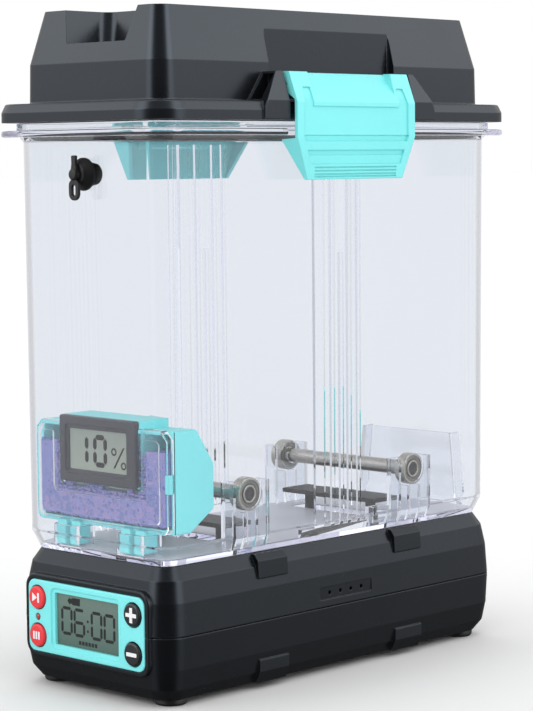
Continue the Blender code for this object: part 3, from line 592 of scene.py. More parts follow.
# Pale milky floor skins: partly a frosted texture, partly a painted reflection of the white surroundings off
# the box's floor.
FROST_AND_REFLECTION = frosted("frosted_floor_painted_reflection", (0.80, 0.80, 0.85))
STEEL = steel("ground_steel", (0.42, 0.40, 0.37), 0.20, (0.02, 1.0, 1.0))
RACE_STEEL = steel("race_steel", (0.46, 0.44, 0.38), 0.20, (1.0, 1.0, 1.0))
SHIELD_STEEL = steel("shield_steel", (0.24, 0.24, 0.22), 0.34, (1.0, 1.0, 1.0))
DARK_STEEL = steel("dark_steel", (0.07, 0.07, 0.075), 0.45, (1.0, 1.0, 1.0))
ALUMINIUM = steel("heater_aluminium", (0.68, 0.68, 0.70), 0.35, (1.0, 0.1, 1.0))
RUBBER = rubber("black_rubber_fine", (0.006, 0.006, 0.007))
CABLE = rubber("cable_jacket", (0.03, 0.03, 0.035))
WHITE_MARK = ink("white_mark", (0.86, 0.86, 0.90))
BLACK_MARK = ink("display_mark", (0.004, 0.005, 0.006), 0.6)
DOCK_LCD = lcd_glass("dock_lcd_glass", (0.085, 0.145, 0.125), (0.15, 0.215, 0.185), 21.0, 44.0)
METER_LCD = lcd_glass("meter_lcd_glass", (0.33, 0.37, 0.31), (0.27, 0.31, 0.27), 99.0, 118.0)
BEADS = bead_finish("silica_beads_fine")
BOARD = board_finish("circuit_board_fine")

CARRIED_OVER = {
    "circuit_board": BOARD,
    "polished_steel": STEEL,
    "black_rubber": RUBBER,
    "aluminium": ALUMINIUM,
    "cable": CABLE,
    "charcoal_plastic": PANEL_BLACK,
    "silica_beads": BEADS,
    "teal_plastic": TEAL,
    "clear_plastic": CLEAR,
    "grey_case": GREY,
    "lcd": METER_LCD,
    "red_button": RED,
    "black_button": BLACK,
}


def refinish_cad_nodes():
    """Every CAD node gets the procedural material of its slot, whether or not it stays shown."""
    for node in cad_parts.values():
        slot = node.data.materials[0].name.split(".")[0]
        node.data.materials.clear()
        node.data.materials.append(CARRIED_OVER[slot])


# ---------------------------------------------------------------- dock

TAB_WIDTH = 19.0
TAB_MIDDLES = (-45.8, 46.2)
PANEL_RIM = 2.6  # width of the raised frame around the display panel
PANEL_RIM_FRONT = PANEL_FRONT + 0.6
SEAM_GAP = 0.15
INTAKE_Y = -34.0
VENT_Z = 37.8


def panel_outline(grow, radius=4.0):
    """The display panel's rounded outline, grown on every side."""
    width, height = PANEL_SIZE
    return shifted(rounded(width + 2 * grow, height + 2 * grow, radius + grow, 8), 0, PANEL_MIDDLE)


def add_panel_frame(shell, z_low, z_high):
    """The raised frame around the display, one half on each shell, and the opening for the panel."""
    rim = prism("rim", panel_outline(PANEL_RIM), "Y", PANEL_RIM_FRONT, -109.5, (0.9, 0), 4)
    keep(rim, block("half", (-OUT_X, OUT_X), (-OUT_Y, -100), (z_low, z_high)))
    add(shell, rim)
    cut(shell, prism("opening", panel_outline(0.3), "Y", -120, -106))


def add_side_tabs(shell, profile):
    """Raised grip tabs on both long sides. The profile is in x and z, for the right-hand side."""
    soft_profile = fillet(profile, 0.5, 3)
    for middle in TAB_MIDDLES:
        for points in (soft_profile, mirrored(soft_profile)):
            low, high = middle - TAB_WIDTH / 2, middle + TAB_WIDTH / 2
            add(shell, prism("tab", points, "Y", low, high, (0.4, 0.4), 2))


def make_lower_shell():
    """The dock's lower shell, with air intakes underneath and the power inlet at the rear."""
    lower = casing("dock_lower_casing", (
        (84.0, 7, DOCK_LOW + 2.4),
        (91.0, 9, 9.6),
        (95.0, 10.2, DOCK_SEAM - SEAM_GAP),
        (99.8, 12.5, DOCK_SEAM - SEAM_GAP),
        (98.4, 12, 17.0),
        (95.2, 11, 8.0),
        (88.0, 9, DOCK_LOW),
    ), (0, 0, 0, 0.35, 1.5, 1.5, 1.2))
    add_panel_frame(lower, 0, DOCK_SEAM - SEAM_GAP)
    add_side_tabs(lower, [(43.0, 3.0), (47.2, 3.0), (49.4, 8.4), (49.4, 14.0), (46.8, 14.0)])
    intakes = []
    for step in range(5):
        y = INTAKE_Y + 8 * (step - 2)
        intakes.append(block("intake", (-18, 18), (y - 1.5, y + 1.5), (0, 8)))
    cut(lower, together("intakes", intakes))
    cut(lower, prism("inlet", shifted(rounded(22.6, 12.6, 5, 6), 24, 18), "Y", 108, 118))
    place(lower, "dock", DOCK_CHARCOAL_SHADED, "charcoal_plastic", "dock_lower_shell")


def make_upper_shell():
    """The dock's upper shell, with side recesses over a row of vents and air slots in its deck."""
    upper = casing("dock_upper_casing", (
        (83.5, 7, DOCK_TOP - 2.7),
        (89.8, 9, 54.4),
        (95.0, 10.2, DOCK_SEAM + SEAM_GAP),
        (99.8, 12.5, DOCK_SEAM + SEAM_GAP),
        (98.0, 12, 46.0),
        (94.4, 11, 55.5),
        (87.2, 9, DOCK_TOP),
    ), (0, 0, 0, 0.35, 1.5, 1.0, 1.0))
    add_panel_frame(upper, DOCK_SEAM + SEAM_GAP, 80)
    add_side_tabs(upper, [(46.4, 50.2), (49.2, 50.2), (48.6, 58.2), (46.4, 61.0), (40.0, 61.0), (40.0, 59.5)])
    recess = fillet(rectangle((-16.0, VENT_Z - 2.9), (19.6, VENT_Z + 2.9)), 0.8, 3)
    for side in (-1, 1):
        cut(upper, prism("recess", recess, "X", *sorted((side * 49.1, side * OUT_X))))
    holes = []
    for step in range(4):
        holes.append(rod("vent", 1.0, "X", (-8.9 + 7.2 * step, VENT_Z), -OUT_X, OUT_X, 16))
    cut(upper, together("vents", holes))
    for side_y in (-1, 1):
        y = side_y * VALVE_Y
        for low in (y - 6, y + 2):
            cut(upper, block("air_slot", (-26, 26), (low, low + 4), (50, 70)))
    place(upper, "dock", DOCK_CHARCOAL_SHADED, "charcoal_plastic", "dock_upper_shell")


def make_feet():
    """Four rubber feet with a dished sole."""
    for node in ("foot_front_left", "foot_front_right", "foot_rear_left", "foot_rear_right"):
        middle, top = cad_middle(node), cad_box(node)[1].z
        profile = [(0.6, 0.4), (0.0, 5.0), (0.0, 6.6), (1.0, 7.2), (top, 7.2), (top, 0.4)]
        foot = turned(f"{node}_pad", fillet(profile, 0.4, 3, False), "Z", (middle.x, middle.y))
        place(foot, "dock", RUBBER, "black_rubber", node)


# ---------------------------------------------------------------- display panel

DIGIT_BARS = {"0": "abcdef", "1": "bc", "6": "acdefg"}


def digit_outlines(digit, x, z, width, height, stroke, gap):
    """Outlines of the lit bars of a seven-bar digit whose lower left corner is at x, z."""
    half, bar = height / 2, stroke / 2
    ends = {
        "a": ((0, height), (width, height)),
        "b": ((width, half), (width, height)),
        "c": ((width, 0), (width, half)),
        "d": ((0, 0), (width, 0)),
        "e": ((0, 0), (0, half)),
        "f": ((0, half), (0, height)),
        "g": ((0, half), (width, half)),
    }
    outlines = []
    for name in DIGIT_BARS[digit]:
        start, end = (Vector(point) for point in ends[name])
        along = (end - start).normalized()
        side = Vector((-along.y, along.x)) * bar
        start, end = start + along * gap, end - along * gap
        points = (start, start + along * bar - side, end - along * bar - side)
        points += (end, end - along * bar + side, start + along * bar + side)
        outlines.append([(point.x + x, point.y + z) for point in points])
    return outlines


def raised_marks(name, outlines, back, proud, soft=0.0):
    """Flat marks that stand a little proud of a surface facing -Y."""
    marks = [prism("mark", points, "Y", back - proud, back, (soft, 0), 2) for points in outlines]
    return together(name, marks)


def dock_lcd_marks():
    """Time in slim bars, a heater icon above it and a row of progress blocks below."""
    left = LCD_MIDDLE_X - LCD_SIZE[0] / 2
    low = PANEL_MIDDLE - LCD_SIZE[1] / 2
    outlines = []
    for digit, x in (("0", 3.4), ("6", 11.7), ("0", 23.1), ("0", 31.5)):
        outlines += digit_outlines(digit, left + x, low + 5.6, 6.2, 11.4, 1.4, 0.3)
    for z in (8.2, 12.6):
        outlines.append(shifted(centred(0.55, 0.55), left + 20.4, low + z))
    upper = [(0, 0), (1.6, 1.7), (1.6, 1.1), (3.2, 1.1), (3.2, 1.6), (8.4, 1.6)]
    icon = upper + [(x, -z) for x, z in reversed(upper[1:])]
    outlines.append(shifted(icon, left + 7.0, low + 20.4))
    for step in range(6):
        outlines.append(shifted(rectangle((0, 0), (1.5, 1.7)), left + 14.4 + 2.1 * step, low + 1.6))
    return outlines


def make_bezel():
    """Teal panel with a stepped window, button wells and a lamp hole."""
    outline = panel_outline(0)
    bezel = prism("panel_bezel", outline, "Y", PANEL_FRONT, PANEL_FRONT + 2.6, (0.7, 0), 4)
    window = shifted(rounded(*LCD_SIZE, 0.8, 4), LCD_MIDDLE_X, PANEL_MIDDLE)
    step = inset(window, -1.9)
    cut(bezel, prism("window", window, "Y", -OUT_Y, PANEL_BACK))
    slope = [[on_axis(pair, "Y", PANEL_FRONT - 0.2) for pair in inset(window, -2.1)],
             [on_axis(pair, "Y", PANEL_FRONT + 0.7) for pair in step],
             [on_axis(pair, "Y", PANEL_FRONT + 0.75) for pair in window],
             [on_axis(pair, "Y", PANEL_FRONT + 1.5) for pair in window]]
    cut(bezel, stack("step", slope))
    wells = []
    for side in (-1, 1):
        for z in (BUTTON_LOW, BUTTON_HIGH):
            wells.append(turned("well", (
                (PANEL_FRONT - 0.3, BUTTON_RADIUS + 0.75),
                (PANEL_FRONT + 0.5, BUTTON_RADIUS + 0.35),
                (PANEL_BACK, BUTTON_RADIUS + 0.35),
            ), "Y", (side * BUTTON_X, z)))
    wells.append(rod("well", 1.65, "Y", (-BUTTON_X, LED_Z), -OUT_Y, PANEL_BACK, 24))
    cut(bezel, together("wells", wells))
    place(bezel, "dock", TEAL, "teal_plastic", "display_bezel")


def make_dock_display():
    """The dock's display behind the window, its raised figures and the status lamp."""
    back = PANEL_FRONT + 2.0
    window = shifted(centred(LCD_SIZE[0] / 2 + 0.5, LCD_SIZE[1] / 2 + 0.5), LCD_MIDDLE_X, PANEL_MIDDLE)
    glass = prism("dock_lcd", fillet(window, 0.6, 3), "Y", back, back + 2.4, (0.1, 0.1), 2)
    place(glass, "dock", DOCK_LCD, "lcd", "display_lcd")
    marks = raised_marks("dock_lcd_marks", dock_lcd_marks(), back, 0.06)
    place(marks, "dock", BLACK_MARK, "lcd")
    dome = [(PANEL_FRONT + y, radius) for y, radius in ((-0.35, 0.3), (-0.2, 0.9), (0.2, 1.35), (4.0, 1.4))]
    led = turned("lamp_lens", dome, "Y", (-BUTTON_X, LED_Z), 24)
    place(led, "dock", LED_RED, "red_button", "status_led", sharp=60)


def button_cap(name, x, z, finish, slot, body, node):
    """A push button with a crowned, softly edged cap."""
    front = cad_box(node)[0].y
    flange = BUTTON_RADIUS + 0.9
    steps = ((0, 0.2), (0, BUTTON_RADIUS), (4.0, BUTTON_RADIUS), (4.0, flange), (5.0, flange), (5.0, 0.2))
    profile = [(front + depth, radius) for depth, radius in steps]
    cap = turned(name, fillet(profile, (0, 0.9, 0, 0, 0, 0), 5, False), "Y", (x, z))
    place(cap, body, finish, slot, node)
    return front


def bar_mark(x, z, width, height):
    return fillet(shifted(centred(width / 2, height / 2), x, z), 0.25, 2)


def plus_mark(x, z, reach, half):
    points = [(half, -reach), (half, -half), (reach, -half), (reach, half), (half, half), (half, reach)]
    return shifted(points + [(-across, -up) for across, up in points], x, z)


def make_buttons():
    """Two red and two black keys, each with a white mark."""
    keys = (
        ("start", -BUTTON_X, BUTTON_HIGH, RED, "red_button"),
        ("mode", -BUTTON_X, BUTTON_LOW, RED, "red_button"),
        ("plus", BUTTON_X, BUTTON_HIGH, BLACK, "black_button"),
        ("minus", BUTTON_X, BUTTON_LOW, BLACK, "black_button"),
    )
    for key, x, z, finish, slot in keys:
        front = button_cap(f"{key}_cap", x, z, finish, slot, f"{key}_key", f"{key}_button")
        marks = {
            "start": [[(x - 2.4, z - 2.0), (x + 0.7, z), (x - 2.4, z + 2.0)], bar_mark(x + 1.6, z, 1.1, 4.4)],
            "mode": [bar_mark(x + 1.7 * step, z, 0.95, 3.6) for step in (-1, 0, 1)],
            "plus": [plus_mark(x, z, 3.3, 0.85)],
            "minus": [bar_mark(x, z, 6.4, 1.7)],
        }[key]
        glyph = raised_marks(f"{key}_glyph", marks, front + 0.1, 0.3, 0.08)
        place(glyph, f"{key}_key", WHITE_MARK, slot)


# ---------------------------------------------------------------- clear box

RIBS = ((-10.5, 6.6, 243.0), (-1.6, 2.4, 243.0), (4.4, 2.4, 193.0), (9.8, 2.4, 243.0), (16.2, 2.0, 243.0))
PRONG_HALF, PRONG_TOP = 11.4, 93.6


def pocket_outline(radius):
    """A U-shaped plate outline in y and z, open upwards round a bearing centre at the origin."""
    top, low = PRONG_TOP - ROLLER_Z, BOX_LOW + 1 - ROLLER_Z
    points = [(-radius, top), (-PRONG_HALF, top), (-PRONG_HALF, low)]
    points += [(PRONG_HALF, low), (PRONG_HALF, top), (radius, top)]
    steps = 14
    turns = [math.pi * step / steps for step in range(steps + 1)]
    return points + [(radius * math.cos(a), -radius * math.sin(a)) for a in turns]


def add_cradles(box):
    """Moulded cradles: two U plates hold each bearing, on upright webs that reach the floor."""
    for side in (-1, 1):
        for y in (-ROLLER_Y, ROLLER_Y):
            for low, high, radius in ((36.4, 38.0, SHAFT_RADIUS + 0.5), (43.4, 45.6, 6.0)):
                outline = shifted(pocket_outline(radius), y, ROLLER_Z)
                add(box, prism("plate", outline, "X", *sorted((side * low, side * high))))
            for across in (-10.4, -4.2, 3.6, 10.4):
                top = PRONG_TOP if abs(across) > 8 else ROLLER_Z - BEARING_RADIUS - 0.3
                x = (side * 37.2, side * 45.0)
                add(box, block("web", x, (y + across - 0.9, y + across + 0.9), (BOX_LOW + 1, top)))


def add_wall_ribs(box):
    """Upright stiffening ribs inside both long walls; the middle one is shorter."""
    for side in (-1, 1):
        for y, width, top in RIBS:
            x = (side * 42.9, side * 45.2)
            add(box, block("rib", x, (y - width / 2, y + width / 2), (BOX_FLOOR - 1, top)))
        add(box, block("ledge", (side * 40.6, side * 45.2), (-22.0, 24.0), (BOX_FLOOR - 1, 68.0)))


def add_rear_pocket(box):
    """A low pocket against the rear wall for a second bag of desiccant."""
    outline = [(-33, BOX_FLOOR - 1), (33, BOX_FLOOR - 1), (28.8, 99.8), (-28.8, 99.8)]
    pocket = prism("pocket", fillet(outline, (0, 0, 1.5, 1.5), 3), "Y", 100.6, 108.2)
    space = [(-30.6, BOX_FLOOR + 1), (30.6, BOX_FLOOR + 1), (26.8, 105), (-26.8, 105)]
    cut(pocket, prism("space", space, "Y", 102.4, 107.4))
    add(box, pocket)


def add_floor_brackets(box):
    """Rounded sockets for the cartridge's clips, and two small guide brackets by the walls."""
    for side in (-1, 1):
        x = side * CLIP_X
        outline = fillet(rectangle((x - 9.4, -106.4), (x + 9.4, -96.0)), (3.5, 3.5, 1, 1), 4)
        socket = prism("socket", outline, "Z", BOX_FLOOR - 1, 73.6, (0, 0.4))
        cut(socket, block("slot", (x - 8.2, x + 8.2), (-104.8, -97.4), (BOX_FLOOR + 1, 80)))
        add(box, socket)
        guide = block("guide", (side * 38.6, side * 45.0), (26, 37), (BOX_FLOOR - 1, 72.5))
        cut(guide, block("guide_space", (side * 40.2, side * 43.2), (27.6, 35.4), (BOX_FLOOR + 1, 80)))
        add(box, guide)


def make_box():
    """The clear box: thin walls, a rounded lip for the latches, and a sealing ring above it."""
    outside = (
        (87.0, 8, BOX_LOW),
        (93.1, 9, 69.3),
        (94.7, 9.5, 244.6),
        (98.0, 11, LIP_LOW),
        (113.4, 17.5, LIP_LOW),
        (113.4, 17.5, LIP_HIGH),
        (100.4, 12, LIP_HIGH),
        (100.4, 12, BOX_HIGH),
    )
    inside = (
        (89.9, 7.4, BOX_HIGH),
        (89.7, 7.2, 246.0),
        (88.1, 6.8, 70.3),
        (82.6, 5.8, BOX_FLOOR),
    )
    radii = (0.8, 1.2, 0.8, 0.4, 1.4, 1.4, 0.6, 0.9, 0.9, 0, 2.0, 1.5)
    box = casing("clear_box", outside + inside, radii)
    add_cradles(box)
    add_wall_ribs(box)
    add_rear_pocket(box)
    add_floor_brackets(box)
    keep(box, casing("limit", outside, radii[:8]))
    notches = []
    for side_x in (-1, 1):
        for side_y in (-1, 1):
            x, y = (side_x * 50.8, side_x * OUT_X), (side_y * 29.5, side_y * 42.0)
            notches.append(block("notch", x, y, (LIP_LOW - 1, LIP_HIGH + 0.3)))
    notches.append(rod("feed_hole", 4.3, "Y", (0, GROMMET_Z), -115, -105))
    for side_y in (-1, 1):
        y = side_y * VALVE_Y
        notches.append(block("opening", (-27, 27), (y - 6, y + 6), (BOX_LOW - 1, BOX_FLOOR + 1)))
    cut(box, together("openings", notches))
    place(box, "box", CLEAR, "clear_plastic", "box_body")
    make_floor_frost_and_reflection()


def make_floor_frost_and_reflection():
    """The eroded, milky texture of the box's floor, its pale colour also a painted reflection of the white
    surroundings: a skin just above it and one just below.
    """
    skins = []
    for level, width, radius in ((BOX_FLOOR + 0.1, 80.0, 5.0), (BOX_LOW - 0.25, 86.0, 7.5)):
        skin = prism("skin", rounded(width, width + LENGTH_EXTRA, radius), "Z", level, level + 0.15)
        holes = []
        for y in (-VALVE_Y, VALVE_Y):
            holes.append(block("opening", (-27.4, 27.4), (y - 6.4, y + 6.4), (60, 70)))
        cut(skin, together("openings", holes))
        skins.append(skin)
    place(together("floor_frost", skins), "box", FROST_AND_REFLECTION, "clear_plastic")


def make_rollers():
    """Polished shafts with chamfered journals, each turning in two shielded bearings."""
    neck = BEARING_FACE - BEARING_WIDTH - 0.2
    end = BEARING_FACE - 0.3
    half = [(neck - 0.4, SHAFT_RADIUS), (neck, SHAFT_RADIUS - 0.4), (neck, JOURNAL_RADIUS)]
    half += [(end - 0.5, JOURNAL_RADIUS), (end, JOURNAL_RADIUS - 0.5), (end, 1.0), (end - 0.6, 0.3)]
    profile = mirrored(half) + half
    for where, y in (("front", -ROLLER_Y), ("rear", ROLLER_Y)):
        shaft = turned(f"{where}_shaft", profile, "X", (y, ROLLER_Z))
        place(shaft, f"{where}_roller", STEEL, "polished_steel", f"roller_shaft_{where}")
        for hand, side in (("left", -1), ("right", 1)):
            make_bearing(where, hand, side, (y, ROLLER_Z))


def make_bearing(where, hand, side, centre):
    """Outer race with a grooved face, its pressed shield, and the inner race round the journal."""
    low, high = BEARING_FACE - BEARING_WIDTH, BEARING_FACE

    def ring(name, profile):
        points = profile if side > 0 else mirrored(profile)
        return turned(name, points, "X", centre, 48, looped=True)

    outer = [(low, 6.2), (low, BEARING_RADIUS), (high, BEARING_RADIUS), (high, 6.2)]
    race = ring(f"race_{where}_{hand}", fillet(outer, (0, 0.5, 0.5, 0.15), 3))
    place(race, "box", RACE_STEEL, "polished_steel", f"bearing_outer_{where}_{hand}")
    shield = [(low + 0.3, 4.5), (low + 0.3, 6.1)]
    dents = ((0.35, 6.1), (0.35, 5.7), (0.2, 5.5), (0.2, 4.9), (0.45, 4.7), (0.45, 4.5))
    shield += [(high - depth, radius) for depth, radius in dents]
    place(ring(f"shield_{where}_{hand}", shield), "box", SHIELD_STEEL, "polished_steel")
    bore = JOURNAL_RADIUS + 0.08
    inner = fillet([(low, bore), (low, 4.1), (high, 4.1), (high, bore)], 0.25, 2)
    inner_race = ring(f"inner_race_{where}_{hand}", inner)
    place(inner_race, f"{where}_roller", RACE_STEEL, "polished_steel", f"bearing_inner_{where}_{hand}")
    cap = [(high - 0.3, 0.3), (high - 0.3, JOURNAL_RADIUS - 0.25)]
    cap += [(high - 0.1, JOURNAL_RADIUS - 0.45), (high - 0.1, 0.3)]
    place(ring(f"journal_end_{where}_{hand}", cap), f"{where}_roller", DARK_STEEL, "polished_steel")


def make_grommet(name, node, body, x, z, wall_out, wall_in, scale):
    """A rubber feed-through: cone outside, neck through the wall, stud inside, bored for filament."""
    bore = 1.6 * scale
    profile = (
        (wall_out - 5.2 * scale, bore),
        (wall_out - 5.2 * scale, 4.4 * scale),
        (wall_out - 1.6 * scale, 7.2 * scale),
        (wall_out - 0.3, 7.2 * scale),
        (wall_out - 0.3, 4.0 * scale),
        (wall_in + 0.3, 4.0 * scale),
        (wall_in + 0.3, 5.4 * scale),
        (wall_in + 4.6 * scale, 4.6 * scale),
        (wall_in + 4.6 * scale, bore),
    )
    soft = fillet(profile, [0.5 * scale if i in (1, 2, 3, 6, 7) else 0 for i in range(9)], 4)
    place(turned(name, soft, "Y", (x, z), 48, looped=True), body, RUBBER, "black_rubber", node)


def make_plug(name, node, body, x, z, wall_out, scale, turn):
    """A pull-out plug: pin, button head, grip tab and looped strap, turned about its axis."""
    head = wall_out - 5.2 * scale - 0.3
    profile = (
        (head - 2.4 * scale, 0.2),
        (head - 2.4 * scale, 2.5 * scale),
        (head, 2.7 * scale),
        (head, 1.2 * scale),
        (wall_out + 3.0, 1.2 * scale),
        (wall_out + 3.6, 0.5 * scale),
    )
    soft = fillet(profile, (0, 0.8 * scale, 0.3 * scale, 0, 0, 0), 4, False)
    plug = turned(name, soft, "Y", (x, z), 32)
    y = (head - 1.6 * scale, head - 0.2 * scale)

    def flat(outline, depth=y):
        points = [(px * scale + x, pz * scale + z) for px, pz in outline]
        return prism("flat", points, "Y", *depth, (0.35 * scale, 0.35 * scale), 2)

    tab = fillet([(-2.0, 1.2), (2.0, 1.2), (1.3, 4.6), (1.5, 8.2), (-1.5, 8.2), (-1.3, 4.6)], 0.6, 3)
    add(plug, flat(tab))
    ring = rounded(6.4, 9.4, 3.1, 8)
    strap = flat(shifted(ring, 0, -6.6))
    hole = [(px * scale + x, pz * scale + z) for px, pz in shifted(rounded(2.6, 5.0, 1.25, 6), 0, -6.9)]
    cut(strap, prism("hole", hole, "Y", -OUT_Y, -60))
    add(plug, strap)
    centre = Vector((x, 0, z)) * MM
    spin = Matrix.Rotation(math.radians(turn), 4, "Y")
    plug.data.transform(Matrix.Translation(centre) @ spin @ Matrix.Translation(-centre))
    place(plug, body, RUBBER, "black_rubber", node)


# ---------------------------------------------------------------- desiccant cartridge

NEST_BACK = -85.4


def tray_outline(shrink):
    """Side profile of the cartridge in y and z; its rear follows the spool."""
    return [
        (CART_FRONT, CART_LOW + shrink),
        (-91.0, CART_LOW + shrink),
        (-76.8 - shrink, 84.0),
        (-76.8 - shrink, 104.0),
        (-87.0 - shrink / 2, CART_HIGH - shrink),
        (CART_FRONT, CART_HIGH - shrink),
    ]


def make_tray():
    """The cartridge body: an open-fronted tray with a nest for the hygrometer and two clips."""
    outline = fillet(tray_outline(0), (0.3, 1.5, 1.5, 1.5, 1.5, 0.3), 4)
    tray = prism("cartridge_tray", outline, "X", -CART_SIDE, CART_SIDE, (0.8, 0.8), 4)
    side = CART_SIDE - 2.0
    cut(tray, prism("inside", tray_outline(2.0), "X", -side, side))
    cut(tray, block("mouth", (-side, side), (-102, -99), (CART_LOW + 2, CART_HIGH - 2)))
    half = METER_SIZE[0] / 2
    low, high = METER_Z - METER_SIZE[1] / 2, METER_Z + METER_SIZE[1] / 2
    front = METER_FRONT + METER_BEZEL + 0.2
    nest = prism("nest", rectangle((-half, low), (half, high)), "Y", front, NEST_BACK, (0.3, 0.6), 3)
    add(tray, nest)
    side = half - METER_STEP + 0.3
    space = (low + METER_STEP - 0.3, high - METER_STEP + 0.3)
    cut(tray, block("nest_space", (-side, side), (-110, METER_FRONT + METER_DEPTH + 0.3), space))
    for hand in (-1, 1):
        x = hand * CLIP_X
        for offset in (-4.6, 4.6):
            middle = x + offset
            outline = rectangle((middle - 3.1, BOX_FLOOR + 1.5), (middle + 3.1, CART_LOW + 1))
            add(tray, prism("clip", fillet(outline, 0.6, 3), "Y", -103.9, -98.2, (0.4, 0.4), 2))
    place(tray, "cartridge", TEAL, "teal_plastic", "desiccant_tray")
    outline = fillet(rectangle((-103.4, 92.6), (-101.2, 101.0)), 0.4, 3)
    catch = prism("cover_catch", outline, "X", CART_SIDE - 1.6, CART_SIDE + 0.1)
    place(catch, "cartridge", TEAL, "teal_plastic")


def cover_outline(shrink, corner):
    """The U-shaped outline of the window over the beads, shrunk on every side."""
    half = METER_SIZE[0] / 2 + 0.5
    notch = METER_Z - METER_SIZE[1] / 2 - 0.5
    side, low, high = CART_SIDE + 0.4, CART_LOW + 0.2, CART_HIGH + 0.4
    points = [(-side, low), (side, low), (side, high - 4), (side - 4, high), (half, high), (half, notch),
              (-half, notch), (-half, high), (-side + 4, high), (-side, high - 4)]
    radii = (corner, corner, 2, 2, 1, 3.2, 3.2, 1, 2, 2)
    return fillet(inset(points, shrink) if shrink else points, radii, 5)


def make_cover():
    """The clear window over the beads: a thin tray with a raised inner field."""
    back = CART_FRONT - 0.3
    cover = prism("bead_window", cover_outline(0, 4.0), "Y", -104.2, back, (0.6, 0), 3)
    cut(cover, prism("space", cover_outline(1.3, 3.0), "Y", -103.1, back + 5))
    add(cover, prism("field", cover_outline(4.4, 2.2), "Y", -104.9, -103.6, (0.5, 0), 3))
    place(cover, "cartridge", CLEAR_COVER, "clear_plastic", "desiccant_cover")


def bead_spot_ok(x, z):
    """Whether a bead whose centre is at x, z lies in the U of the cartridge, below its fill level."""
    half = METER_SIZE[0] / 2 + 1.4
    notch = METER_Z - METER_SIZE[1] / 2 - 1.4
    fill = 107.5 + 3.4 * (0.5 - x / 80)
    return abs(x) < 39.0 and CART_LOW + 3.4 < z < fill and (z < notch or abs(x) > half)


def make_beads():
    """A settled layer of small beads behind the window, over the solid fill."""
    random.seed(11)
    radius, pitch = 0.95, 1.75
    builder = bmesh.new()
    for row in range(24):
        for column in range(48):
            x = (column - 23.5 + (row % 2) * 0.5) * pitch + random.uniform(-0.3, 0.3)
            z = CART_LOW + 3.6 + row * pitch * 0.88 + random.uniform(-0.3, 0.3)
            if not bead_spot_ok(x, z):
                continue
            size = radius * random.uniform(0.85, 1.12)
            spot = Matrix.Translation((x, -101.7 + random.uniform(-0.25, 0.5), z))
            bmesh.ops.create_icosphere(builder, subdivisions=2, radius=size, matrix=spot)
    beads = make_object("bead_layer", builder)
    place(beads, "cartridge", BEADS, "silica_beads", sharp=80)


def make_meter():
    """The hygrometer: bevelled grey case, stepped window, display and its figures."""
    outline = shifted(rounded(*METER_SIZE, 1.2, 4), 0, METER_Z)
    case = prism("meter_case", outline, "Y", METER_FRONT, METER_FRONT + METER_BEZEL, (0.9, 0.3), 2)
    body = centred(METER_SIZE[0] / 2 - METER_STEP, METER_SIZE[1] / 2 - METER_STEP)
    body = shifted(body, 0, METER_Z)
    add(case, prism("body", body, "Y", METER_FRONT + 2.0, METER_FRONT + METER_DEPTH))
    window = rectangle((-19.0, METER_Z - 9.0), (18.2, METER_Z + 9.0))
    rings = []
    for grow, depth in ((2.4, -0.3), (1.9, 0.35), (1.9, 0.9), (0.3, 0.95), (0.0, 1.7)):
        outline = fillet(inset(window, -grow), 0.8 + grow / 2, 4)
        rings.append([on_axis(pair, "Y", METER_FRONT + depth) for pair in outline])
    cut(case, stack("window", rings))
    place(case, "cartridge", GREY, "grey_case", "hygrometer_case")
    back = METER_FRONT + 1.55
    glass = prism("meter_lcd", inset(window, -0.2), "Y", back, back + 1.0, (0.05, 0.05), 1)
    place(glass, "cartridge", METER_LCD, "lcd", "hygrometer_lcd")
    left, low = -19.0, METER_Z - 9.0
    outlines = digit_outlines("1", left + 3.6, low + 2.9, 7.4, 12.2, 2.3, 0.3)
    outlines += digit_outlines("0", left + 16.4, low + 2.9, 6.8, 12.2, 2.3, 0.3)
    slash = [(28.4, 2.2), (29.5, 2.2), (35.8, 11.6), (34.7, 11.6)]
    outlines.append(shifted(slash, left, low))
    marks = raised_marks("meter_marks", outlines, back, 0.06)
    rings = []
    for x, z in ((28.8, 9.4), (35.0, 3.6)):
        profile = ((back - 0.06, 0.95), (back - 0.06, 1.75), (back, 1.75), (back, 0.95))
        rings.append(turned("ring", profile, "Y", (left + x, low + z), 24, looped=True))
    place(together("meter_figures", [marks] + rings), "cartridge", BLACK_MARK, "lcd")


# ---------------------------------------------------------------- lid and latches


def lid_ear(side_x, side_y):
    """An ear beside a latch: an outer plate on a hollow root, with a hole for the hinge pin."""
    y0, y1 = side_y * 40.9, side_y * 57.2
    outline = [(y0, 253.0), (y1, 253.0), (y1, 258.0)]
    outline += [(side_y * 55.8, FLANGE_TOP), (side_y * 46.0, EAR_TOP), (y0, EAR_TOP)]
    ear = prism("ear", fillet(outline, (0, 0, 0.7, 0.9, 0.9, 0), 3), "X", 43.5, 57.4, (0, 0.5), 3)
    lean = [(57.6, 260.9), (62.0, 260.9), (62.0, 282.0), (53.0, 282.0), (53.2, EAR_TOP + 0.1)]
    cut(ear, prism("lean", lean, "Y", -70, 70))
    cut(ear, block("hollow", (46.0, 53.0), (side_y * 43.4, side_y * 60), (261.9, EAR_TOP - 1.0)))
    cut(ear, rod("pin_hole", 1.8, "Y", LATCH_PIVOT, -47, 47, 24))
    if side_x < 0:
        ear.data.transform(Matrix.Diagonal((-1, 1, 1, 1)))
        ear.data.flip_normals()
    return ear


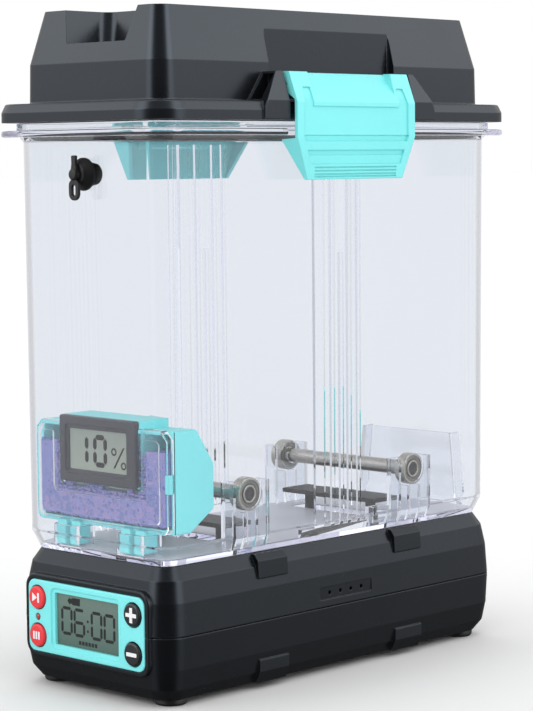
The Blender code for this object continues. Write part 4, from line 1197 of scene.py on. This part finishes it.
def pocket_cutter():
    """The space of the open pocket at the lid's front end, wider at the top."""
    rings = []
    for z, left, right, back in (
        (287.0, -16.4, 21.0, -81.6),
        (287.5, -16.7, 21.5, -81.4),
        (305.0, -21.8, 26.6, -75.6),
    ):
        corners = [(left, -OUT_Y), (right, -OUT_Y), (right, back), (left, back)]
        rings.append([(x, y, z) for x, y in fillet(corners, (0, 0, 3.0, 6.0), 8)])
    return stack("pocket", rings)


RECESS_X = 41.0  # the flat floor of the recess beside each latch


def make_lid():
    """Hollow lid: flange, upright band, tapered crown, side recesses and a front pocket."""
    outlines = (
        (112.6, 17, LID_LOW),
        (112.6, 17, 257.2),
        (109.4, 16, FLANGE_TOP),
        (90.1, 9.5, BAND_LOW),
        (89.3, 9, BAND_HIGH),
        (77.8, 6.5, LID_HIGH),
    )
    lid = casing("lid_casing", outlines, (0.5, 0.7, 1.4, 0.7, 0.7, 2.2), steps=6)
    for side_y in (-1, 1):
        for side_x in (-1, 1):
            add(lid, lid_ear(side_x, side_y))
    hollow = casing("hollow", (
        (84.9, 7, LID_LOW - 3),
        (84.9, 7, 262),
        (84.3, 6.5, BAND_HIGH),
        (72.8, 4.2, LID_HIGH - 2.8),
    ))
    wall = RECESS_X - 2.6
    for side in (-1, 1):
        cut(hollow, block("recess_wall", (side * wall, side * OUT_X), (-45, 45), (262.5, OUT_Z)))
        recess = fillet(rectangle((side * RECESS_X, -41.6), (side * OUT_X, 42.4)), (1.2, 0, 0, 1.2), 8)
        cut(lid, prism("recess", recess, "Z", 261.9, OUT_Z))
    cut(hollow, block("pocket_wall", (-24.6, 29), (-OUT_Y, -73.0), (284.4, OUT_Z)))
    cut(lid, hollow)
    cut(lid, pocket_cutter())
    groove_top = 255.6
    seal_groove = ((98.9, 11.4, LID_LOW - 1), (98.9, 11.4, groove_top),
                   (92.1, 8.4, groove_top), (92.1, 8.4, LID_LOW - 1))
    cut(lid, casing("groove", seal_groove, 0, True))
    cut(lid, rod("feed_hole", 2.6, "Y", (LID_GROMMET[0], LID_GROMMET[2]), -84, -74))
    place(lid, "lid", CHARCOAL, "charcoal_plastic", "lid_shell", sharp=12)


LATCH_TOP = 274.3
LATCH_OUT = 70.0  # clear outside the right-hand latch
LATCH_REACH = (40.0, 75.0)  # from inside to outside of the right-hand latch
LATCH_SURFACE = (
    (54.9, LATCH_TOP),
    (LATCH_PLATE, LATCH_KINK_HIGH),
    (LATCH_PLATE, LATCH_KINK_LOW),
    (58.6, LATCH_LOW),
)


def latch_half_width(z):
    """Half the latch's width below its lower kink, where it narrows."""
    share = (z - LATCH_LOW) / (LATCH_KINK_LOW - LATCH_LOW)
    return LATCH_LOW_HALF + (LATCH_HALF - LATCH_LOW_HALF) * share


def latch_layer(outline, depth):
    """A cutter as deep as given below the latch's outer surface, over an outline in y and z."""
    inner = [(x - depth, z) for x, z in LATCH_SURFACE]
    layer = prism("layer", inner + [(LATCH_OUT, LATCH_LOW), (LATCH_OUT, LATCH_TOP)], "Y", -45, 45)
    keep(layer, prism("field", outline, "X", *LATCH_REACH))
    return layer


def narrowing_strip(z_low, z_high, margin):
    """An outline between two heights whose ends run beside the latch's narrowing sides."""
    low, high = latch_half_width(z_low) - margin, latch_half_width(z_high) - margin
    return [(-low, z_low), (low, z_low), (high, z_high), (-high, z_high)]


def add_latch_relief(latch):
    """Finger ramp, inset panel, pressing bars and grip grooves on the latch's outer face."""
    side = [(LATCH_PLATE, 263.2), (LATCH_OUT, 263.2), (LATCH_OUT, 280), (46.0, 280), (49.8, 274.5)]
    ramp = prism("ramp", side, "Y", -32, 32)
    keep(ramp, prism("mouth", [(-26.6, 262), (26.6, 262), (28.0, 276), (-28.0, 276)], "X", *LATCH_REACH))
    cut(latch, ramp)
    half = [(34.9, 245.9), (34.9, 260.0), (33.6, 267.4), (29.0, 267.4), (28.8, 259.0)]
    panel = mirrored(half)[-1:] + half + mirrored(half)[:-1]
    cut(latch, latch_layer(fillet(panel, 0.3, 2), 0.7))
    for z_low, z_high, depth in ((243.6, 246.2, 1.2), (237.4, 239.6, 1.0), (233.4, 237.5, 0.55)):
        cut(latch, latch_layer(narrowing_strip(z_low, z_high, 4.6), depth))
    for z in (231.9, 230.4, 228.9, 227.8):
        cut(latch, latch_layer(rectangle((-27.4, z - 0.28), (27.4, z + 0.28)), 0.45))


def make_latch():
    """The right-hand latch and its mirror image: head, plate, cheeks and hook."""
    cheek = [(56.8, LATCH_LOW), (49.6, 244.6), (58.4, 245.0), (58.4, 262.0)]
    head = [(54.0, 264.9), (50.2, 265.2), (48.6, 268.3), (49.0, 272.2), (50.4, LATCH_TOP)]
    profile = [*LATCH_SURFACE, *cheek, *head]
    radii = (0.6, 1.0, 0.6, 0.5, 0.3, 0.6, 0, 1, 1, 1, 1.2, 0.8, 0.4)
    latch = prism("latch_right_cover", fillet(profile, radii, 3), "Y", -45, 45)
    low, wide = LATCH_LOW_HALF, LATCH_HALF
    half = [(low, LATCH_LOW - 3), (low, LATCH_LOW), (wide, LATCH_KINK_LOW), (wide, 280)]
    front = mirrored(half)[-1:] + half + mirrored(half)[:-1]
    keep(latch, prism("front", fillet(front, (0, 0, 0, 1, 0, 0, 1, 0), 3), "X", *LATCH_REACH))
    wall = 2.2
    inner_wide, inner_low = wide - wall, low - wall
    below, top = 220, 244.9
    space = [(-inner_low, below), (inner_low, below), (inner_low, LATCH_LOW), (inner_wide, top),
             (-inner_wide, top), (-inner_low, LATCH_LOW)]
    hollow = prism("hollow", space, "X", *LATCH_REACH)
    behind = [(40, below), (56.8, below), (56.8, LATCH_LOW), (57.9, top), (40, top)]
    keep(hollow, prism("behind", behind, "Y", -45, 45))
    cut(latch, hollow)
    add(latch, prism("hook", [(57.1, 242.0), (57.1, 244.8), (59.0, 244.8), (58.6, 239.6)], "Y", -26, 26))
    add_latch_relief(latch)
    cut(latch, rod("pin_bore", 1.8, "Y", LATCH_PIVOT, -50, 50, 24))
    other = mirror_copy(latch, "latch_left_cover")
    place(latch, "latch_r", TEAL, "teal_plastic", "latch_right")
    place(other, "latch_l", TEAL, "teal_plastic", "latch_left")


# ---------------------------------------------------------------- studio

CAMERA_PLACE = Vector((759.8, -783.9, 235.8)) * MM
CAMERA_YAW, CAMERA_PITCH, CAMERA_ROLL = 44.05, 4.83, 0.51
LENS = 117.6
# Brightness of the surroundings, from behind the object (0) round to behind the camera (1).
PANEL_STOPS = (
    (0.0, 0.16), (0.28, 0.26), (0.42, 0.46), (0.55, 0.46),
    (0.66, 0.80), (0.80, 1.0), (0.87, 0.10), (0.93, 0.02),
)
# The same from straight down (0) through the horizon (0.5) to straight up (1).
HEIGHT_STOPS = (
    (0.0, 0.05), (0.34, 0.10), (0.44, 0.24), (0.49, 0.34),
    (0.585, 0.56), (0.685, 1.0), (0.80, 0.66), (1.0, 0.55),
)
BRIGHTEST = 6.2
AMBIENT = 1.2  # even light that reaches every matt surface
INSIDE_SHARE = 0.45  # how strongly pieces inside the clear box mirror the panels


def make_camera():
    data = bpy.data.cameras.new("camera")
    data.lens = LENS
    data.sensor_width = 36.0
    data.clip_start = 0.05
    camera = bpy.data.objects.new("camera", data)
    bpy.context.collection.objects.link(camera)
    tilt = Matrix.Rotation(math.radians(90 - CAMERA_PITCH), 4, "X")
    turn = Matrix.Rotation(math.radians(CAMERA_YAW), 4, "Z")
    roll = Matrix.Rotation(math.radians(-CAMERA_ROLL), 4, "Z")
    camera.matrix_world = Matrix.Translation(CAMERA_PLACE) @ turn @ tilt @ roll
    bpy.context.scene.camera = camera


def soft_sun(name, towards, strength):
    """A broad, even light from one direction, so that the floor is equally bright everywhere."""
    data = bpy.data.lights.new(name, "SUN")
    data.energy = strength
    data.angle = math.radians(50)
    light = bpy.data.objects.new(name, data)
    light.rotation_euler = Vector(towards).to_track_quat("Z", "Y").to_euler()
    bpy.context.collection.objects.link(light)


def make_world():
    """White for the camera; for reflections, bright panels at both sides, a dark gap and a pale top."""
    shade = Shading("studio", bpy.data.worlds)
    bpy.context.scene.world = shade.owner

    def vector(operation, first, second, output=0):
        return shade.node("VectorMath", {0: first, 1: second}, operation=operation).outputs[output]

    def curve(value, stops):
        greys = [(position, (brightness, brightness, brightness)) for position, brightness in stops]
        return shade.ramp(shade.span(value, 0.0, 1.0, -1.0, 1.0), greys)

    direction = shade.node("TexCoord").outputs["Generated"]
    level = vector("NORMALIZE", vector("MULTIPLY", direction, (1.0, 1.0, 0.0)), (0.0, 0.0, 0.0))
    ahead = Vector((CAMERA_PLACE.x, CAMERA_PLACE.y, 0)).normalized()
    panels = curve(vector("DOT_PRODUCT", level, tuple(ahead), "Value"), PANEL_STOPS)
    heights = curve(shade.node("SeparateXYZ", {0: direction}).outputs[2], HEIGHT_STOPS)
    lit = vector("MULTIPLY", vector("MULTIPLY", panels, heights), (BRIGHTEST, BRIGHTEST, BRIGHTEST))

    path = shade.node("LightPath").outputs
    even = (AMBIENT, AMBIENT, AMBIENT, 1.0)
    white = (1.0, 1.0, 1.0, 1.0)
    seen = shade.math("MAXIMUM", path["Is Camera Ray"], path["Is Singular Ray"])
    direct = shade.mix(seen, shade.mix(path["Is Glossy Ray"], even, lit), white)
    reflected = shade.math("GREATER_THAN", path["Glossy Depth"], 0.5)
    through = shade.mix(reflected, white, shade.mix(INSIDE_SHARE, white, lit))
    colour = shade.mix(path["Is Transmission Ray"], direct, through)
    background = shade.node("Background", {"Color": colour, "Strength": 1.0}).outputs[0]
    shade.node("OutputWorld", {"Surface": background})


def make_floor():
    """A wide pale floor that meets the white background. Reflections look past it, into the studio."""
    builder = bmesh.new()
    bmesh.ops.create_circle(builder, cap_ends=True, radius=30000, segments=96)
    floor = make_object("floor", builder)
    shade = Shading("pale_floor")
    paper = shade.noise(300, 3)
    pale = shade.principled({
        "Base Color": shade.tone(paper, (0.82, 0.82, 0.82), 0.01),
        "Roughness": 0.8,
        "Specular IOR Level": 0.1,
    })
    past = shade.node("BsdfTransparent").outputs[0]
    glossy = shade.node("LightPath").outputs["Is Glossy Ray"]
    surface = shade.node("MixShader", {0: glossy, 1: pale, 2: past}).outputs[0]
    floor.data.materials.append(shade.finish(surface))


def make_studio():
    """Camera, surroundings, floor and light, and how far light is followed through the clear box."""
    make_camera()
    make_world()
    make_floor()
    soft_sun("top", (0.3, -0.2, 1.0), 0.2)
    scene = bpy.context.scene
    scene.view_settings.view_transform = "Standard"
    scene.cycles.max_bounces = 24
    scene.cycles.transmission_bounces = 20
    scene.cycles.transparent_max_bounces = 32
    scene.cycles.glossy_bounces = 6
    scene.cycles.diffuse_bounces = 3
    scene.cycles.caustics_reflective = False
    scene.cycles.caustics_refractive = False


def build():
    refinish_cad_nodes()
    make_lower_shell()
    make_upper_shell()
    make_feet()
    make_bezel()
    make_dock_display()
    make_buttons()
    make_box()
    make_rollers()
    make_grommet("front_feed", "front_grommet", "box", 0, GROMMET_Z, BOX_FRONT, BOX_FRONT + 2.6, 1.0)
    make_plug("front_feed_plug", "front_plug", "front_stopper", 0, GROMMET_Z, BOX_FRONT, 1.0, 0)
    make_tray()
    make_cover()
    make_beads()
    make_meter()
    make_lid()
    make_latch()
    x, y, z = LID_GROMMET
    make_grommet("lid_feed", "lid_grommet", "lid", x, z, y, y + 2.6, 0.6)
    make_plug("lid_feed_plug", "lid_plug", "lid_stopper", x, z, y, 0.6, -90)
    make_studio()


build()
